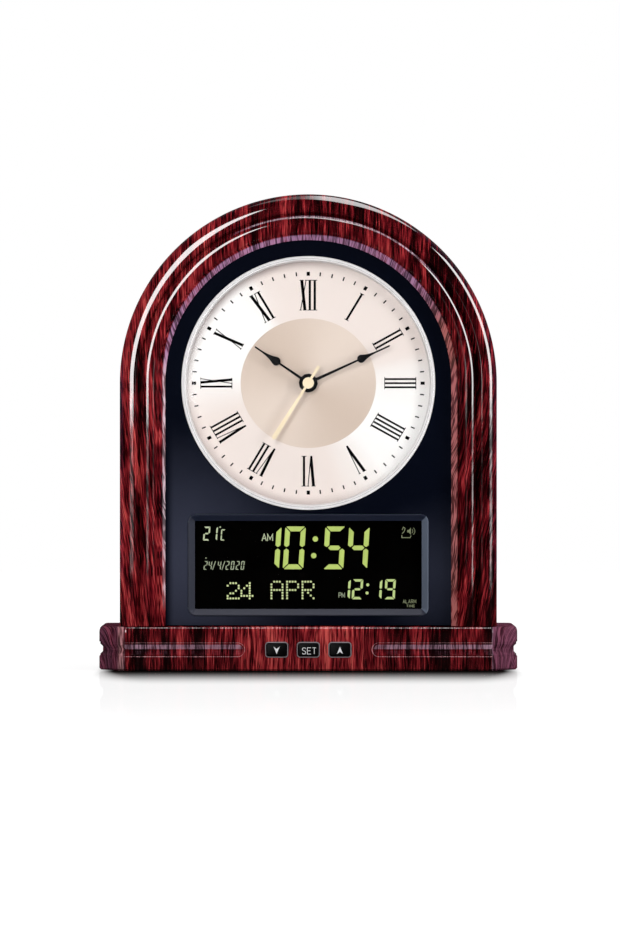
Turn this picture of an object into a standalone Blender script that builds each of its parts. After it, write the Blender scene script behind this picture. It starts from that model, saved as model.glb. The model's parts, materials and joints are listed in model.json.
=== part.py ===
"""Mantel clock with a quartz dial, a lit display and a speaker, in an arched housing.

Metres, +Z up, the front faces -Y, X to the right. The origin lies on the surface that the
clock stands on, under the middle of the whole clock.
"""
import math

import bmesh
import bpy
from mathutils import Matrix

# Fits that every piece shares
SEAT_GAP = 0.0003
SLIDE_GAP = 0.00025
ROUND_GAP = 0.00015
CUT_OVERRUN = 0.002
FUSE_DEPTH = 0.0006

# Plinth
BASE_OVERHANG = 0.0125
BASE_DEPTH = 0.070
BASE_TOP = 0.026
FOOT_STANDOFF = 0.0005
BASE_CHAMFER = 0.0152
BASE_CHAMFER_RADIUS = 0.003
BASE_REAR_RADIUS = 0.005
BASE_EDGE_INSET = 0.0016
BASE_EDGE_DROP = 0.0034
BASE_FOOT_BEVEL = 0.0010
BASE_WALL = 0.0025
BASE_SIDE_WALL = 0.0072
BASE_LEDGE = 0.0022

# Flute round the plinth
FLUTE_DROP = 0.01325
FLUTE_HALF_HEIGHT = 0.00425
FLUTE_DEPTH = 0.0030
FLUTE_QUIRK_DEPTH = 0.0006
FLUTE_QUIRK_WIDTH = 0.0013
FLUTE_APEX_HALF = 0.0006
FLUTE_BUTTON_MARGIN = 0.0061
FLUTE_REAR_MARGIN = 0.011

# Base plate, pads and the screws under the plinth
BASE_PLATE_THICKNESS = 0.0026
BASE_PLATE_RAISE = 0.0003
PAD_RADIUS = 0.0065
PAD_SINK = 0.0014
PAD_SIDE_INSET = 0.021
PAD_END_INSET = 0.019
POST_RADIUS = 0.0040
POST_SIDE_INSET = 0.042
POST_END_INSET = 0.0175
BASE_SCREW_LENGTH = 0.009

# Arched housing
ARCH_RADIUS = 0.1105
ARCH_BACK = 0.020
ARCH_WALL = 0.0026
ARCH_REAR_BEVEL = 0.0006
ARCH_FLOOR_THICKNESS = 0.0025
OUTER_BEAD_WIDTH = 0.0110
OUTER_BEAD_FAR_WIDTH = 0.0057
OUTER_BEAD_START_RISE = 0.0055
OUTER_BEAD_RISE = 0.0105
OUTER_BEAD_END_RISE = 0.0030
BEAD_STEP_WIDTH = 0.0006
INNER_BEAD_WIDTH = 0.0113
INNER_BEAD_FAR_WIDTH = 0.0059
INNER_BEAD_START_RISE = 0.0035
INNER_BEAD_RISE = 0.0070
INNER_BEAD_END_RISE = 0.0045
LIP_CHAMFER_WIDTH = 0.0036
LIP_FRONT_DEPTH = 0.023
LIP_THICKNESS = 0.001
CORE_WALL = 0.0031
CORE_SLOPE = 0.0025
FLOOR_BOSS_RADIUS = 0.0040
FLOOR_BOSS_HEIGHT = 0.0045
REAR_BOSS_RADIUS = 0.0036
REAR_BOSS_BITE = 0.0002

# Screws of every kind
SCREW_RADIUS = 0.0013
SCREW_HEAD_RADIUS = 0.0027
SCREW_HEAD_HEIGHT = 0.0016
BACK_SCREW_LENGTH = 0.011

# Front panel
PANEL_THICKNESS = 0.0022
PANEL_OVERLAP = 0.0145

# Dial
DIAL_MARGIN = 0.0094
DIAL_RING_WIDTH = 0.0024
DIAL_RING_TAPER = 0.0007
DIAL_RING_PROUD = 0.0006
DIAL_RING_DEPTH = 0.0055
COLLAR_WALL = 0.0016
COLLAR_DEPTH = 0.0052
DIAL_THICKNESS = 0.0010
LENS_WALL = 0.0014
LENS_EDGE_HEIGHT = 0.0008
LENS_EDGE_ROUND = 0.0019
LENS_CROWN = 0.0010

# Hands, read from the pivot outwards
HUB_RADIUS = 0.0056
HAND_THICKNESS = 0.0005
HAND_AIR = 0.0009
HOUR_LENGTH = 0.038
HOUR_BULGE_REACH = 0.0228
HOUR_BULGE_RADIUS = 0.0026
HOUR_FLARE_LENGTH = 0.0100
HOUR_SHAFT_WIDTH = 0.0017
HOUR_NECK_WIDTH = 0.0012
MINUTE_LENGTH = 0.0528
MINUTE_BULGE_REACH = 0.0342
MINUTE_BULGE_RADIUS = 0.0024
MINUTE_FLARE_LENGTH = 0.0086
MINUTE_SHAFT_WIDTH = 0.0019
MINUTE_NECK_WIDTH = 0.0011
NEEDLE_WIDTH = 0.0010
MINUTE_HUB_RADIUS = 0.0044
SECOND_LENGTH = 0.0394
SECOND_TIP_WIDTH = 0.0028
SECOND_NECK_WIDTH = 0.0013
SECOND_TAIL = 0.0116
SECOND_TAIL_WIDTH = 0.0019
SECOND_CAP_RADIUS = 0.0034
SECOND_CAP_HEIGHT = 0.0011
HOUR_ANGLE = math.radians(304.2)
MINUTE_ANGLE = math.radians(65.4)
SECOND_ANGLE = math.radians(212.1)

# Quartz movement
MOVEMENT_SIZE = 0.057
MOVEMENT_CORNER = 0.003
CAVITY_CORNER = 0.0004
MOVEMENT_WALL = 0.0012
MOVEMENT_FRONT_DEPTH = 0.0062
MOVEMENT_DEPTH = 0.016
BUSH_RADIUS = 0.0040
BUSH_LENGTH = 0.0041
NUT_RADIUS = 0.0055
NUT_HEIGHT = 0.0019
TROUGH_WALL = 0.0010
MOVEMENT_CELL_PROUD = 0.0007
CELL_RADIUS = 0.0071
CELL_LENGTH = 0.0492
CELL_CAP_RADIUS = 0.0027
CELL_CAP_HEIGHT = 0.0011
SECOND_ARBOR_RADIUS = 0.00055
MINUTE_ARBOR_RADIUS = 0.0016
HOUR_TUBE_RADIUS = 0.0026
SETTING_ARBOR_RADIUS = 0.0008
THIRD_ARBOR_RADIUS = 0.0004
KNOB_RADIUS = 0.0045
KNOB_HEIGHT = 0.0038
KNOB_GROOVE = 0.0006

# Wheels: tooth sizes, thickness and the air between layers
MOTION_DISTANCE = 0.008
TRAIN_MODULE = 0.00025
WHEEL_THICKNESS = 0.0009
PINION_LENGTH = 0.0014
LAYER_AIR = 0.0003
SECOND_MODULE = 0.00025
STEP_MODULE = 0.0002
ROTOR_RADIUS = 0.0026
ROTOR_THICKNESS = 0.0015
ROTOR_AIR = 0.0004
COIL_RADIUS = 0.0038
COIL_FLANGE_RADIUS = 0.0046
COIL_LENGTH = 0.026
COIL_FLANGE_THICKNESS = 0.0012
COIL_RISE = 0.0205
STATOR_THICKNESS = 0.0010
STATOR_REACH = 0.0165
STATOR_ARM_WIDTH = 0.0042
STATOR_RIM = 0.0028
MINUTE_PINION_TEETH = 8
SETTING_WHEEL_TEETH = 24
SETTING_PINION_TEETH = 8
HOUR_WHEEL_TEETH = 32
SECOND_PINION_TEETH = 6
THIRD_WHEEL_TEETH = 45
THIRD_PINION_TEETH = 6
CENTRE_WHEEL_TEETH = 48
SECOND_WHEEL_TEETH = 30
STEP_PINION_TEETH = 6
STEP_WHEEL_TEETH = 36
ROTOR_PINION_TEETH = 6
SETTING_DIRECTION = math.radians(60)
STEP_DIRECTION = math.radians(110)
ROTOR_DIRECTION = math.radians(120)
THIRD_DIRECTION = math.radians(200)
TOOTH_TIP_SHARE = 0.85
TOOTH_ROOT_SHARE = 1.15
TOOTH_TOP_SHARE = 0.11
TOOTH_FOOT_SHARE = 0.29

# Display
BEZEL_SIDE_MARGIN = 0.01335
BEZEL_FOOT_MARGIN = 0.00615
BEZEL_DIAL_MARGIN = 0.00255
BEZEL_HEIGHT = 0.0597
BEZEL_RADIUS = 0.0045
BEZEL_BORDER = 0.0039
BEZEL_RIM = 0.0006
BEZEL_PROUD = 0.0002
BEZEL_SLOPE_DEPTH = 0.0025
BEZEL_FLANGE = 0.0030
BEZEL_FLANGE_THICKNESS = 0.0015
WINDOW_THICKNESS = 0.0010
DISPLAY_LAP = 0.0026
DISPLAY_THICKNESS = 0.0021
BACKLIGHT_THICKNESS = 0.0030
BOARD_THICKNESS = 0.0016
BOARD_SIDE_MARGIN = 0.01135
BOARD_FOOT_MARGIN = 0.00115
BOARD_PILLAR_RADIUS = 0.0030
BOARD_PILLAR_INSET = 0.0050
BOARD_CHIP_SIZE = 0.012
BOARD_CHIP_HEIGHT = 0.0016

# Rear cover and what it carries
COVER_THICKNESS = 0.0023
COVER_FIT = 0.0005
WELL_MARGIN = 0.00175
WELL_RADIUS = 0.004
WELL_WALL = 0.0018
WELL_LIP = 0.0022
WELL_LIP_THICKNESS = 0.0018
BATTERY_X = -0.052
BATTERY_LENGTH = 0.056
BATTERY_PITCH = 0.0150
BATTERY_CELLS = 3
BATTERY_BOX_WALL = 0.0018
DOOR_LAP = 0.0024
DOOR_THICKNESS = 0.0015
DOOR_RADIUS = 0.002
DOOR_GRIP_WIDTH = 0.016
DOOR_GRIP_HEIGHT = 0.003
DOOR_GRIP_DEPTH = 0.0007
SPEAKER_X = 0.050
SPEAKER_RADIUS = 0.0285
SPEAKER_FLANGE_WIDTH = 0.0035
SPEAKER_FLANGE_THICKNESS = 0.0012
SPEAKER_BASKET_DEPTH = 0.0105
SPEAKER_WALL = 0.0010
MAGNET_RADIUS = 0.0150
MAGNET_DEPTH = 0.0070
CONE_WALL = 0.0005
CONE_DEPTH = 0.0060
DUST_CAP_RADIUS = 0.0080
COLLAR_CLEARANCE = 0.0006
SPEAKER_COLLAR_DEPTH = 0.0050
GRILLE_RADIUS = 0.0235
GRILLE_PITCH = 0.0050
GRILLE_SLOT = 0.0022
GRILLE_SLOTS = 9
GRILLE_ROUND_SHARE = 0.4
JACK_FLOOR_MARGIN = 0.0027
JACK_BODY_RADIUS = 0.0050
JACK_BODY_LENGTH = 0.0110
JACK_BARREL_RADIUS = 0.0039
JACK_PROUD = 0.0022
JACK_BORE_RADIUS = 0.00275
JACK_BORE_DEPTH = 0.0095
JACK_PIN_RADIUS = 0.0010
JACK_NUT_RADIUS = 0.0058
JACK_NUT_HEIGHT = 0.0018

# Buttons in the plinth's front
BUTTON_WIDTH = 0.0119
BUTTON_HEIGHT = 0.0076
BUTTON_RADIUS = 0.0012
BUTTON_SPACING = 0.0066
BUTTON_PROUD = 0.0009
BUTTON_EDGE = 0.0004
BUTTON_FLANGE = 0.0010
BUTTON_FLANGE_THICKNESS = 0.0008
BUTTON_TRAVEL = 0.0006
RIM_WIDTH = 0.0005
RIM_DEPTH = 0.0011
BUTTON_POCKET_MARGIN = 0.00655
BUTTON_POCKET_RISE = 0.0038
SWITCH_SIZE = 0.006
STEM_RADIUS = 0.0016
STEM_ENTRY = 0.0014
SWITCH_DEPTH = 0.0027
KEY_BOARD_LAP = 0.007
KEY_BOARD_HALF_HEIGHT = 0.0072

# Facets
ARCH_STEPS = 26
BEAD_STEPS = 4
DIAL_STEPS = 40
BIG_ROUND_STEPS = 18
ROUND_STEPS = 12
SMALL_STEPS = 8
SCREW_STEPS = 6
NUT_SIDES = 6
CORNER_STEPS = 2
CHAMFER_STEPS = 2
BULGE_STEPS = 5
LENS_STEPS = 3

# Sizes that follow from the ones above
STEP_RADIUS = ARCH_RADIUS - OUTER_BEAD_WIDTH - BEAD_STEP_WIDTH
LIP_RADIUS = STEP_RADIUS - INNER_BEAD_WIDTH - LIP_CHAMFER_WIDTH
BASE_WIDTH = 2 * (ARCH_RADIUS + BASE_OVERHANG)
DIAL_RING_RADIUS = LIP_RADIUS - DIAL_MARGIN
BEZEL_WIDTH = 2 * (LIP_RADIUS - BEZEL_SIDE_MARGIN)
DISPLAY_CENTRE_HEIGHT = BASE_TOP + BEZEL_FOOT_MARGIN + BEZEL_HEIGHT / 2
ARCH_CENTRE_HEIGHT = DISPLAY_CENTRE_HEIGHT + BEZEL_HEIGHT / 2 + BEZEL_DIAL_MARGIN + DIAL_RING_RADIUS
BATTERY_HEIGHT = DISPLAY_CENTRE_HEIGHT
SPEAKER_HEIGHT = DISPLAY_CENTRE_HEIGHT
BOARD_WIDTH = BEZEL_WIDTH + 2 * BOARD_SIDE_MARGIN
BOARD_HEIGHT = BEZEL_HEIGHT + 2 * BOARD_FOOT_MARGIN
WELL_SIZE = MOVEMENT_SIZE + 2 * WELL_MARGIN
FLUTE_CENTRE_HEIGHT = BASE_TOP - FLUTE_DROP
BUTTON_CENTRE_HEIGHT = FLUTE_CENTRE_HEIGHT
BUTTON_PITCH = BUTTON_WIDTH + BUTTON_SPACING
BUTTON_POCKET_HALF_WIDTH = BUTTON_PITCH + BUTTON_WIDTH / 2 + BUTTON_POCKET_MARGIN
BUTTON_POCKET_HALF_HEIGHT = BUTTON_HEIGHT / 2 + BUTTON_POCKET_RISE
FLUTE_FRONT_START = BUTTON_POCKET_HALF_WIDTH + FLUTE_BUTTON_MARGIN
KEY_BOARD_HALF_WIDTH = BUTTON_POCKET_HALF_WIDTH + KEY_BOARD_LAP

# Where the layers lie, front to back
BASE_FRONT = (BUTTON_PROUD - BASE_DEPTH) / 2
BASE_BACK = BASE_FRONT + BASE_DEPTH
LIP_FRONT = -LIP_FRONT_DEPTH
LIP_BACK = LIP_FRONT + LIP_THICKNESS
PANEL_FRONT = LIP_BACK + SEAT_GAP
PANEL_BACK = PANEL_FRONT + PANEL_THICKNESS
PANEL_RADIUS = LIP_RADIUS + PANEL_OVERLAP
RING_FRONT = PANEL_FRONT - DIAL_RING_PROUD
RING_BACK = RING_FRONT + DIAL_RING_DEPTH
COLLAR_RADIUS = DIAL_RING_RADIUS + SEAT_GAP
DIAL_FRONT = RING_BACK + SEAT_GAP
DIAL_BACK = DIAL_FRONT + DIAL_THICKNESS
LENS_BACK = RING_FRONT - SEAT_GAP
MOVEMENT_FRONT = DIAL_BACK + SEAT_GAP
MOVEMENT_SPLIT = MOVEMENT_FRONT + MOVEMENT_FRONT_DEPTH
MOVEMENT_BACK = MOVEMENT_FRONT + MOVEMENT_DEPTH
BUSH_FRONT = MOVEMENT_FRONT - BUSH_LENGTH
NUT_BACK = DIAL_FRONT - SEAT_GAP
HOUR_BACK = BUSH_FRONT - HAND_AIR / 2
HOUR_FRONT = HOUR_BACK - HAND_THICKNESS
MINUTE_BACK = HOUR_FRONT - HAND_AIR
MINUTE_FRONT = MINUTE_BACK - HAND_THICKNESS
SECOND_BACK = MINUTE_FRONT - HAND_AIR
SECOND_FRONT = SECOND_BACK - HAND_THICKNESS
ARCH_BOTTOM = BASE_TOP + SEAT_GAP
FLOOR_TOP = ARCH_BOTTOM + ARCH_FLOOR_THICKNESS
PANEL_BOTTOM = ARCH_BOTTOM + SEAT_GAP
JACK_HEIGHT = FLOOR_TOP + JACK_FLOOR_MARGIN + JACK_BODY_RADIUS
INNER_RADIUS = ARCH_RADIUS - ARCH_WALL
COVER_BACK = ARCH_BACK
COVER_FRONT = COVER_BACK - COVER_THICKNESS
REAR_BOSS_REACH = INNER_RADIUS + REAR_BOSS_BITE - REAR_BOSS_RADIUS

# Screw places round the rear cover, as arc angles and heights up the legs
REAR_ARC_ANGLES = (math.radians(48), math.radians(132))
REAR_LEG_SHARES = (0.10, 0.58)
FLOOR_SCREW_SHARES = (-0.78, -0.22, 0.22, 0.78)

MATERIALS = {
    "wood_film": ((0.22, 0.015, 0.018, 1), 0.18, 0.0),
    "panel_blue": ((0.012, 0.013, 0.022, 1), 0.45, 0.0),
    "pale_plastic": ((0.82, 0.78, 0.74, 1), 0.35, 0.0),
    "clear": ((0.90, 0.92, 0.94, 1), 0.05, 0.0),
    "dial_cream": ((0.80, 0.70, 0.62, 1), 0.35, 0.0),
    "hand_black": ((0.008, 0.008, 0.009, 1), 0.40, 0.0),
    "hand_gold": ((0.78, 0.68, 0.50, 1), 0.25, 1.0),
    "black_plastic": ((0.012, 0.012, 0.014, 1), 0.50, 0.0),
    "screen_black": ((0.004, 0.004, 0.005, 1), 0.12, 0.0),
    "white_plastic": ((0.75, 0.75, 0.72, 1), 0.45, 0.0),
    "board_green": ((0.02, 0.12, 0.05, 1), 0.50, 0.0),
    "steel": ((0.60, 0.60, 0.60, 1), 0.35, 1.0),
    "brass": ((0.75, 0.55, 0.22, 1), 0.35, 1.0),
    "magnet_grey": ((0.10, 0.10, 0.11, 1), 0.55, 0.3),
    "paper_black": ((0.02, 0.02, 0.02, 1), 0.85, 0.0),
    "rubber": ((0.03, 0.03, 0.03, 1), 0.90, 0.0),
    "cell_sleeve": ((0.05, 0.09, 0.22, 1), 0.35, 0.2),
    "acetal": ((0.85, 0.84, 0.80, 1), 0.40, 0.0),
}


def clear_scene():
    for old in list(bpy.data.objects):
        bpy.data.objects.remove(old, do_unlink=True)


def finish_material(name):
    """The named finish as a Principled material of its own."""
    colour, roughness, metallic = MATERIALS[name]
    made = bpy.data.materials.new(name)
    made.use_nodes = True
    shader = made.node_tree.nodes["Principled BSDF"]
    shader.inputs["Base Color"].default_value = colour
    shader.inputs["Roughness"].default_value = roughness
    shader.inputs["Metallic"].default_value = metallic
    made.diffuse_color = colour
    return made


def to_mesh(name, bm, smooth_angle=35):
    bmesh.ops.recalc_face_normals(bm, faces=bm.faces)
    mesh = bpy.data.meshes.new(name)
    bm.to_mesh(mesh)
    bm.free()
    mesh.shade_smooth()
    mesh.set_sharp_from_angle(angle=math.radians(smooth_angle))
    return mesh


def add_piece(name, bm, finish, location=(0, 0, 0), rotation=(0, 0, 0), parent=None):
    """One named piece of the clock, with its own material."""
    piece = bpy.data.objects.new(name, to_mesh(name, bm))
    bpy.context.scene.collection.objects.link(piece)
    piece.data.materials.append(finish_material(finish))
    piece.location = location
    piece.rotation_euler = rotation
    piece.parent = parent
    return piece


def add_axis(name, location):
    """An empty on a joint's axis, which carries the pieces that turn or slide together."""
    axis = bpy.data.objects.new(name, None)
    bpy.context.scene.collection.objects.link(axis)
    axis.location = location
    return axis


def combine(piece, label, bm, operation):
    """Cut a tool out of the piece, or fuse it on."""
    tool = bpy.data.objects.new(piece.name + "_" + label, to_mesh(piece.name + "_" + label, bm))
    bpy.context.scene.collection.objects.link(tool)
    tool.hide_render = True
    tool.display_type = "WIRE"
    tool.parent = piece
    step = piece.modifiers.new(label, "BOOLEAN")
    step.operation = operation
    step.object = tool
    step.solver = "EXACT"


def cut(piece, label, bm):
    combine(piece, label, bm, "DIFFERENCE")


def fuse(piece, label, bm):
    combine(piece, label, bm, "UNION")


def bridge(bm, first, second):
    """Side faces between two rings of equal length."""
    count = len(first)
    for index in range(count):
        after = (index + 1) % count
        if first[index] is first[after]:
            corners = (first[index], second[after], second[index])
        elif second[index] is second[after]:
            corners = (first[index], first[after], second[index])
        else:
            corners = (first[index], first[after], second[after], second[index])
        bm.faces.new(corners)


def prism(bm, outline, front, back, centre=(0, 0)):
    """A flat piece: an (x, z) outline between two depths."""
    rings = []
    for depth in (front, back):
        rings.append([bm.verts.new((x + centre[0], depth, z + centre[1])) for x, z in outline])
    bm.faces.new(rings[0])
    bm.faces.new(list(reversed(rings[1])))
    bridge(bm, rings[0], rings[1])
    return bm


def upright(bm, outline, bottom, top):
    """An upright piece: an (x, y) outline between two heights."""
    rings = []
    for height in (bottom, top):
        rings.append([bm.verts.new((x, y, height)) for x, y in outline])
    bm.faces.new(rings[0])
    bm.faces.new(list(reversed(rings[1])))
    bridge(bm, rings[0], rings[1])
    return bm


def block(bm, left, right, front, back, bottom, top):
    outline = ((left, bottom), (right, bottom), (right, top), (left, top))
    return prism(bm, outline, front, back)


def turned(bm, profile, steps, centre=(0, 0), closed=False):
    """A body turned about a line along Y: (radius, depth) points, open at the axis or closed."""
    rings = []
    for radius, depth in profile:
        if radius == 0:
            pole = bm.verts.new((centre[0], depth, centre[1]))
            rings.append([pole] * steps)
            continue
        ring = []
        for index in range(steps):
            angle = 2 * math.pi * index / steps
            x = centre[0] + radius * math.cos(angle)
            z = centre[1] + radius * math.sin(angle)
            ring.append(bm.verts.new((x, depth, z)))
        rings.append(ring)
    pairs = list(zip(rings, rings[1:]))
    if closed:
        pairs.append((rings[-1], rings[0]))
    for first, second in pairs:
        bridge(bm, first, second)
    return bm


def disc(bm, radius, front, back, steps, centre=(0, 0)):
    return prism(bm, circle(radius, steps), front, back, centre)


def circle(radius, steps, start=0.0):
    points = []
    for index in range(steps):
        angle = start + 2 * math.pi * index / steps
        points.append((radius * math.cos(angle), radius * math.sin(angle)))
    return points


def rounded(width, height, radius, steps=CORNER_STEPS):
    """A rectangle about zero with round corners."""
    points = []
    for turn, (side, level) in enumerate(((1, 1), (-1, 1), (-1, -1), (1, -1))):
        x = side * (width / 2 - radius)
        z = level * (height / 2 - radius)
        for index in range(steps + 1):
            angle = math.pi / 2 * (turn + index / steps)
            points.append((x + radius * math.cos(angle), z + radius * math.sin(angle)))
    return points


def arch_outline(radius, bottom):
    """Two upright legs under a half circle, about the middle of the arch."""
    points = [(radius, bottom - ARCH_CENTRE_HEIGHT)]
    for index in range(ARCH_STEPS + 1):
        angle = math.pi * index / ARCH_STEPS
        points.append((radius * math.cos(angle), radius * math.sin(angle)))
    points.append((-radius, bottom - ARCH_CENTRE_HEIGHT))
    return points


def arch_places(radius, angles, leg_shares):
    """Places along the arch, about its middle: on the arc, then on both legs."""
    places = [(radius * math.cos(angle), radius * math.sin(angle)) for angle in angles]
    for share in leg_shares:
        height = (ARCH_BOTTOM - ARCH_CENTRE_HEIGHT) * (1 - share)
        places.append((radius, height))
        places.append((-radius, height))
    return places


def bead(start, crown, end):
    """A rounded moulding as two quarter ellipses, from its inner foot over its crown."""
    points = []
    for index in range(BEAD_STEPS + 1):
        angle = math.pi / 2 * index / BEAD_STEPS
        across = crown[0] - (crown[0] - start[0]) * math.cos(angle)
        rise = start[1] + (crown[1] - start[1]) * math.sin(angle)
        points.append((across, rise))
    for index in range(1, BEAD_STEPS + 1):
        angle = math.pi / 2 * index / BEAD_STEPS
        across = crown[0] + (end[0] - crown[0]) * math.sin(angle)
        rise = end[1] + (crown[1] - end[1]) * math.cos(angle)
        points.append((across, rise))
    return points


def screw(bm, seat, length, radius, head_radius, head_height, place, inward=-1):
    """A plain screw along Y: the head stands on the seat and the shank runs inward."""
    outer = seat - inward * head_height
    tip = seat + inward * length
    profile = (
        (0, outer),
        (head_radius - head_height / 2, outer),
        (head_radius, outer + inward * head_height / 2),
        (head_radius, seat),
        (radius, seat),
        (radius, tip - inward * radius),
        (0, tip),
    )
    return turned(bm, profile, SCREW_STEPS, place)


def upright_screw(bm, length):
    """A screw that runs up from its seat at zero, with its head below."""
    screw(bm, 0, length, SCREW_RADIUS, SCREW_HEAD_RADIUS, SCREW_HEAD_HEIGHT, (0, 0), 1)
    quarter_turn = Matrix.Rotation(math.pi / 2, 3, "X")
    bmesh.ops.transform(bm, matrix=quarter_turn.to_4x4(), verts=bm.verts)
    return bm


def post(bm, radius, bottom, top, place, steps=SMALL_STEPS):
    outline = [(place[0] + x, place[1] + y) for x, y in circle(radius, steps)]
    return upright(bm, outline, bottom, top)


# Plinth

def fillet(corner, before, after, radius, steps):
    """Points of a round corner between two straight sides."""
    to_before = (before[0] - corner[0], before[1] - corner[1])
    to_after = (after[0] - corner[0], after[1] - corner[1])
    length_before = math.hypot(*to_before)
    length_after = math.hypot(*to_after)
    unit_before = (to_before[0] / length_before, to_before[1] / length_before)
    unit_after = (to_after[0] / length_after, to_after[1] / length_after)
    cosine = unit_before[0] * unit_after[0] + unit_before[1] * unit_after[1]
    half = math.acos(max(-1.0, min(1.0, cosine))) / 2
    reach = radius / math.tan(half)
    middle = (unit_before[0] + unit_after[0], unit_before[1] + unit_after[1])
    middle_length = math.hypot(*middle)
    away = radius / math.sin(half) / middle_length
    centre = (corner[0] + middle[0] * away, corner[1] + middle[1] * away)
    first = (corner[0] + unit_before[0] * reach, corner[1] + unit_before[1] * reach)
    start = math.atan2(first[1] - centre[1], first[0] - centre[0])
    sweep = math.pi - 2 * half
    points = []
    for index in range(steps + 1):
        angle = start + sweep * index / steps
        points.append((centre[0] + radius * math.cos(angle), centre[1] + radius * math.sin(angle)))
    return points


CORNER_FLOOR_SHARE = 0.15


def base_outline(inset):
    """The plinth seen from above, moved inwards: anticlockwise from the left front corner."""
    side = BASE_WIDTH / 2 - inset
    front = BASE_FRONT + inset
    back = BASE_BACK - inset
    chamfer = BASE_CHAMFER - inset * (2 - math.sqrt(2))
    corners = (
        (-side, front + chamfer),
        (-side + chamfer, front),
        (side - chamfer, front),
        (side, front + chamfer),
        (side, back),
        (-side, back),
    )
    points = []
    for index, corner in enumerate(corners):
        before = corners[index - 1]
        after = corners[(index + 1) % len(corners)]
        rear = index > 3
        radius = BASE_REAR_RADIUS if rear else BASE_CHAMFER_RADIUS
        least = radius * CORNER_FLOOR_SHARE
        steps = CORNER_STEPS if rear else CHAMFER_STEPS
        points += fillet(corner, before, after, max(radius - inset, least), steps)
    return points


def base_ring(bm, inset, height):
    return [bm.verts.new((x, y, height)) for x, y in base_outline(inset)]


def base_shell(bm):
    """The plinth's skin: outside from the foot up, then the hollow from its ceiling down."""
    outside = [(BASE_FOOT_BEVEL, FOOT_STANDOFF), (0, FOOT_STANDOFF + BASE_FOOT_BEVEL)]
    for index in range(BEAD_STEPS + 1):
        angle = math.pi / 2 * index / BEAD_STEPS
        inset = BASE_EDGE_INSET * (1 - math.cos(angle))
        height = BASE_TOP - BASE_EDGE_DROP * (1 - math.sin(angle))
        outside.append((inset, height))
    ledge_height = FOOT_STANDOFF + BASE_PLATE_RAISE + BASE_PLATE_THICKNESS + SEAT_GAP
    ceiling = BASE_TOP - BASE_WALL
    inside = [
        (BASE_SIDE_WALL, ceiling),
        (BASE_SIDE_WALL, ledge_height),
        (BASE_SIDE_WALL - BASE_LEDGE, ledge_height),
        (BASE_SIDE_WALL - BASE_LEDGE, FOOT_STANDOFF),
    ]
    outer_rings = [base_ring(bm, inset, height) for inset, height in outside]
    inner_rings = [base_ring(bm, inset, height) for inset, height in inside]
    for first, second in zip(outer_rings, outer_rings[1:]):
        bridge(bm, first, second)
    for first, second in zip(inner_rings, inner_rings[1:]):
        bridge(bm, first, second)
    bridge(bm, inner_rings[-1], outer_rings[0])
    bm.faces.new(outer_rings[-1])
    bm.faces.new(inner_rings[0])
    return bm


def flute_section(scale):
    """The flute's cut as (inset, height) points, drawn in towards its round ends."""
    half = FLUTE_HALF_HEIGHT
    shoulder = half - FLUTE_QUIRK_WIDTH
    points = (
        (-CUT_OVERRUN, half),
        (FLUTE_QUIRK_DEPTH, half),
        (FLUTE_QUIRK_DEPTH, shoulder),
        (FLUTE_DEPTH, FLUTE_APEX_HALF),
        (FLUTE_DEPTH, -FLUTE_APEX_HALF),
        (FLUTE_QUIRK_DEPTH, -shoulder),
        (FLUTE_QUIRK_DEPTH, -half),
        (-CUT_OVERRUN, -half),
    )
    drawn = []
    for inset, height in points:
        depth = inset * scale if inset > 0 else inset
        drawn.append((depth, FLUTE_CENTRE_HEIGHT + height * scale))
    return drawn


FLUTE_END_SHARES = (0.06, 0.60, 0.90, 1.0)


def flute_cutter(bm, side):
    """One swept cut: along the front, round the chamfer and down the side of the plinth."""
    stations = []
    for share in FLUTE_END_SHARES:
        along = FLUTE_FRONT_START + FLUTE_HALF_HEIGHT * (1 - math.sqrt(1 - share * share))
        section = flute_section(share)
        stations.append([(side * along, BASE_FRONT + inset, height) for inset, height in section])
    corner_points = 2 * (CHAMFER_STEPS + 1)
    for index in range(corner_points):
        station = []
        for inset, height in flute_section(1.0):
            outline = base_outline(inset)
            x, y = outline[corner_points + index]
            station.append((side * x, y, height))
        stations.append(station)
    rear_end = BASE_BACK - FLUTE_REAR_MARGIN
    for share in reversed(FLUTE_END_SHARES):
        along = rear_end - FLUTE_HALF_HEIGHT * (1 - math.sqrt(1 - share * share))
        half = BASE_WIDTH / 2
        section = flute_section(share)
        stations.append([(side * (half - inset), along, height) for inset, height in section])
    rings = [[bm.verts.new(point) for point in station] for station in stations]
    for first, second in zip(rings, rings[1:]):
        bridge(bm, first, second)
    bm.faces.new(rings[0])
    bm.faces.new(rings[-1])
    return bm


CORNER_NAMES = ("left_front", "left_rear", "right_front", "right_rear")


def post_places():
    """Middle of each post under the plinth's top, and of each pad beside it."""
    posts = []
    pads = []
    for side in (-1, 1):
        for end in (-1, 1):
            middle = (BASE_FRONT + BASE_BACK) / 2
            post_along = middle + end * (BASE_DEPTH / 2 - POST_END_INSET)
            pad_along = middle + end * (BASE_DEPTH / 2 - PAD_END_INSET)
            posts.append((side * (BASE_WIDTH / 2 - POST_SIDE_INSET), post_along))
            pads.append((side * (BASE_WIDTH / 2 - PAD_SIDE_INSET), pad_along))
    return posts, pads


def floor_screw_places():
    return [(share * INNER_RADIUS, 0) for share in FLOOR_SCREW_SHARES]


def button_places():
    return (("down", -BUTTON_PITCH), ("set", 0), ("up", BUTTON_PITCH))


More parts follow.
